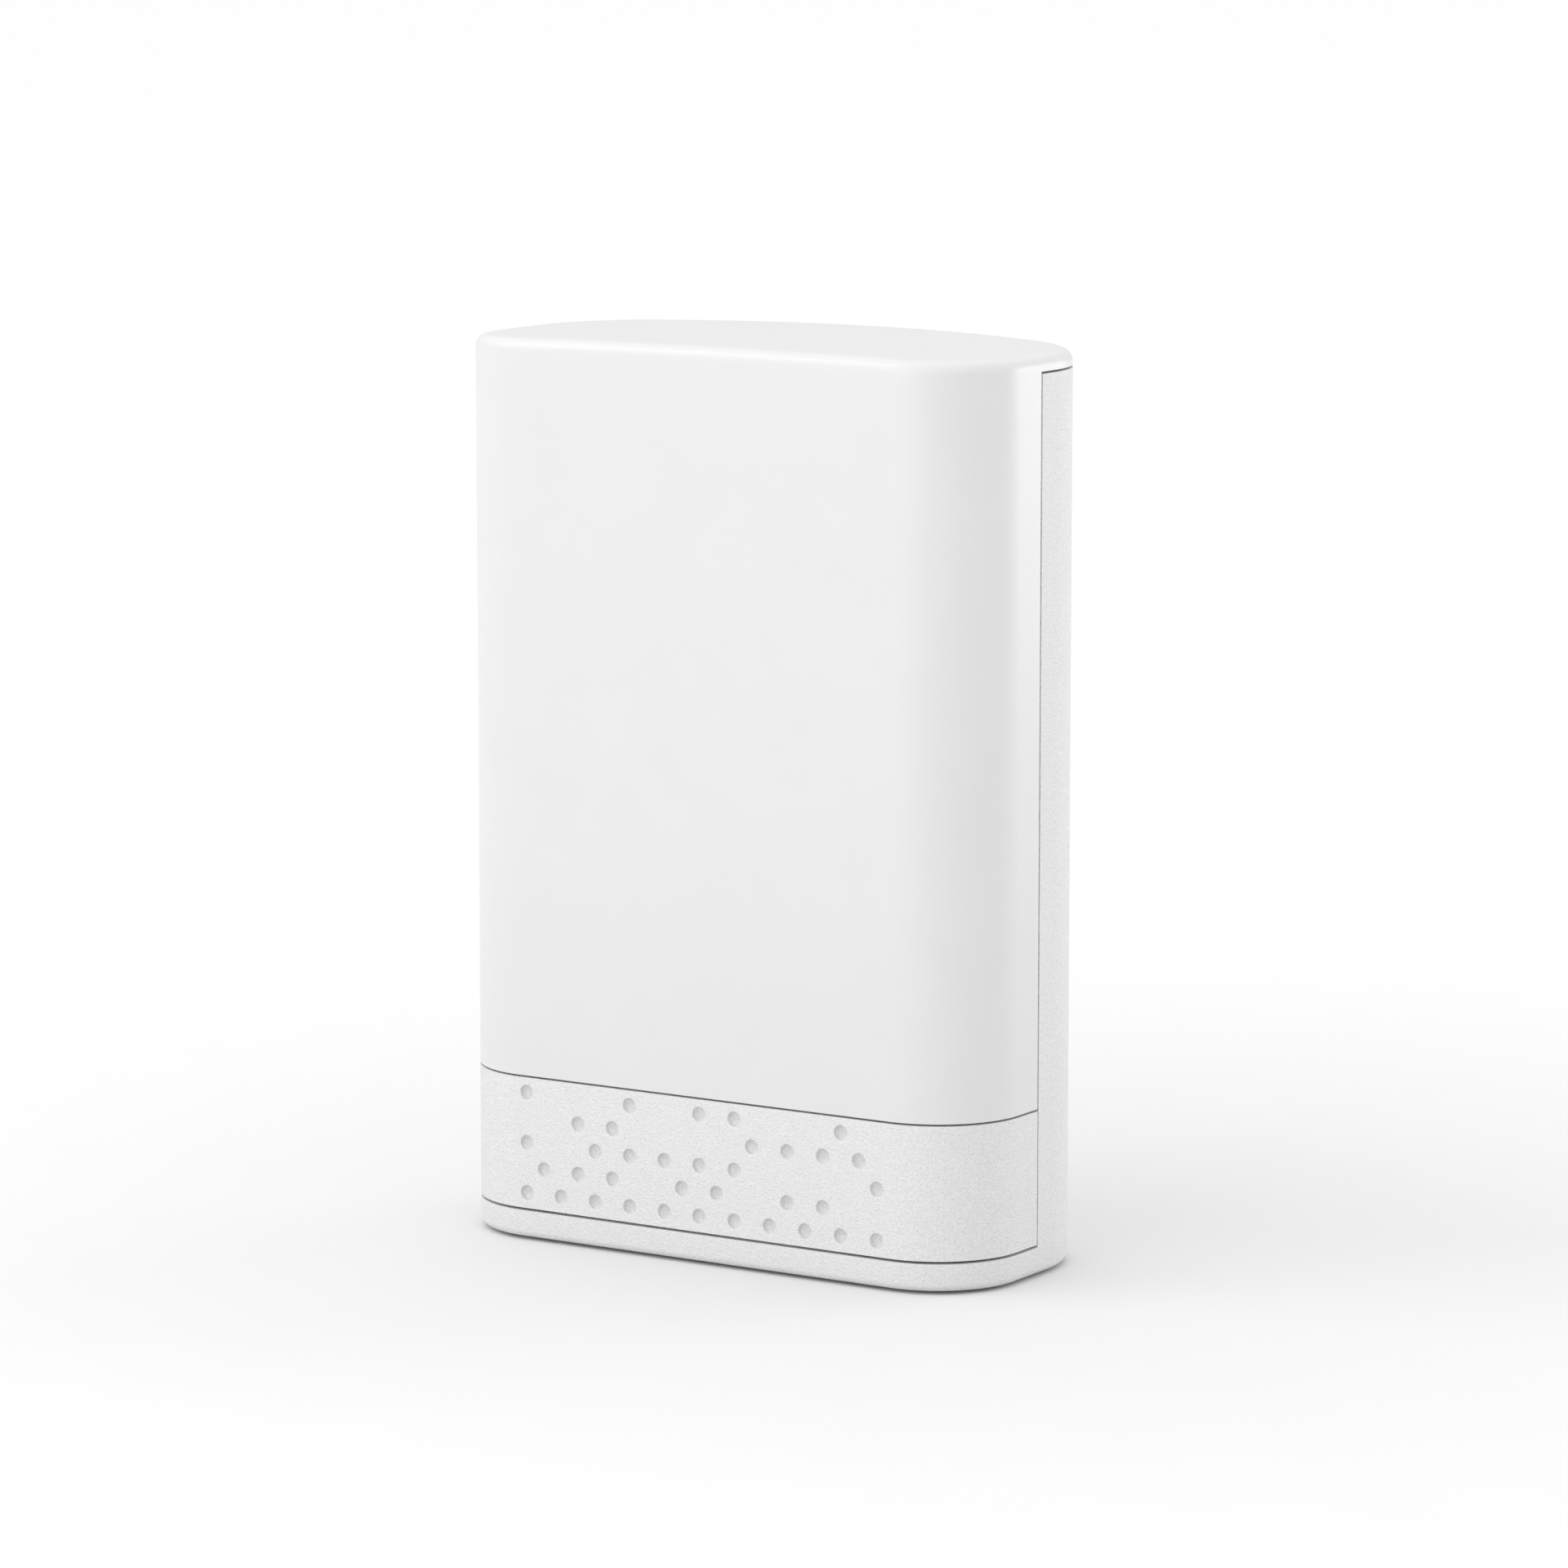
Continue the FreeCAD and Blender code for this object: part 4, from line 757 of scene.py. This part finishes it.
def make_camera():
    """The camera, level from side to side, with a long lens."""
    data = bpy.data.cameras.new("camera")
    data.lens = CAMERA_LENS
    data.sensor_width = 36
    data.clip_end = 50
    camera = bpy.data.objects.new("camera", data)
    backwards = away(CAMERA_AZIMUTH, CAMERA_ELEVATION)
    right = Vector((math.cos(CAMERA_AZIMUTH), math.sin(CAMERA_AZIMUTH), 0))
    turned = Matrix((right, backwards.cross(right), backwards)).transposed().to_4x4()
    camera.matrix_world = Matrix.Translation(CAMERA_PLACE) @ turned
    bpy.context.scene.collection.objects.link(camera)
    bpy.context.scene.camera = camera


def make_floor():
    """A wide round floor under the feet."""
    bm = bmesh.new()
    bmesh.ops.create_circle(bm, cap_ends=True, segments=96, radius=30)
    floor = loose_object(bm, "floor")
    floor.data.materials.append(floor_paint_and_painted_shade())


def area_light(name, azimuth, elevation, distance, size, radiance):
    """A rectangular softbox that faces the router from an azimuth and an elevation in degrees."""
    data = bpy.data.lights.new(name, "AREA")
    data.shape = "RECTANGLE"
    data.size, data.size_y = size
    data.energy = radiance * math.pi * data.size * data.size_y
    light = bpy.data.objects.new(name, data)
    backwards = away(math.radians(azimuth), math.radians(elevation))
    light.location = backwards * distance
    light.rotation_euler = backwards.to_track_quat("Z", "Y").to_euler()
    bpy.context.scene.collection.objects.link(light)


def make_lights():
    """A studio dome that darkens towards the horizon, and the softboxes."""
    world = bpy.data.worlds.new("studio")
    world.use_nodes = True
    tree = world.node_tree
    direction = tree.nodes.new("ShaderNodeTexCoord").outputs["Generated"]
    parts = tree.nodes.new("ShaderNodeSeparateXYZ")
    tree.links.new(direction, parts.inputs["Vector"])
    dome = spread(tree, parts.outputs["Z"], SKY_LOW, SKY_HIGH, 0, 1)
    tree.links.new(dome, tree.nodes["Background"].inputs["Strength"])
    tree.nodes["Background"].inputs["Color"].default_value = (1, 1, 1, 1)
    bpy.context.scene.world = world
    for name, *placing in SOFTBOXES:
        area_light(name, *placing)
    bpy.context.scene.view_settings.view_transform = "Standard"


# ---------------------------------------------------------------- build
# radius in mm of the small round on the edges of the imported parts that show
PACKED_ROUNDS = {
    "power_button": 0.35,
    "wps_button": 0.35,
    "dc_jack_body": 0.2,
    "rubber_feet": 0.2,
    "capacitors": 0.2,
    "case_screws": 0.2,
    "usb_shell": 0.1,
    "usb_tongue": 0.1,
    **{jack + "_insert": 0.15 for jack in JACKS},
    **{jack + "_shield": 0.08 for jack in JACKS},
}


def round_packed(name, width):
    """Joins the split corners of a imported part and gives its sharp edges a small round."""
    weld = nodes[name].modifiers.new("join_corners", "WELD")
    weld.merge_threshold = 1e-6
    soften(nodes[name], width)


finishes = slot_materials()
slots = {entry["node"]: entry["material_slot"] for entry in frame["record"]["subparts"]}
for name, node in nodes.items():
    node.data.materials.clear()
    node.data.materials.append(finishes[slots[name]])
for name, radius in PACKED_ROUNDS.items():
    round_packed(name, radius * MM)
make_cover(finishes["cover_plastic"])
make_band(finishes["grained_plastic"])
make_housing(finishes["grained_plastic"])
make_camera()
make_floor()
make_lights()
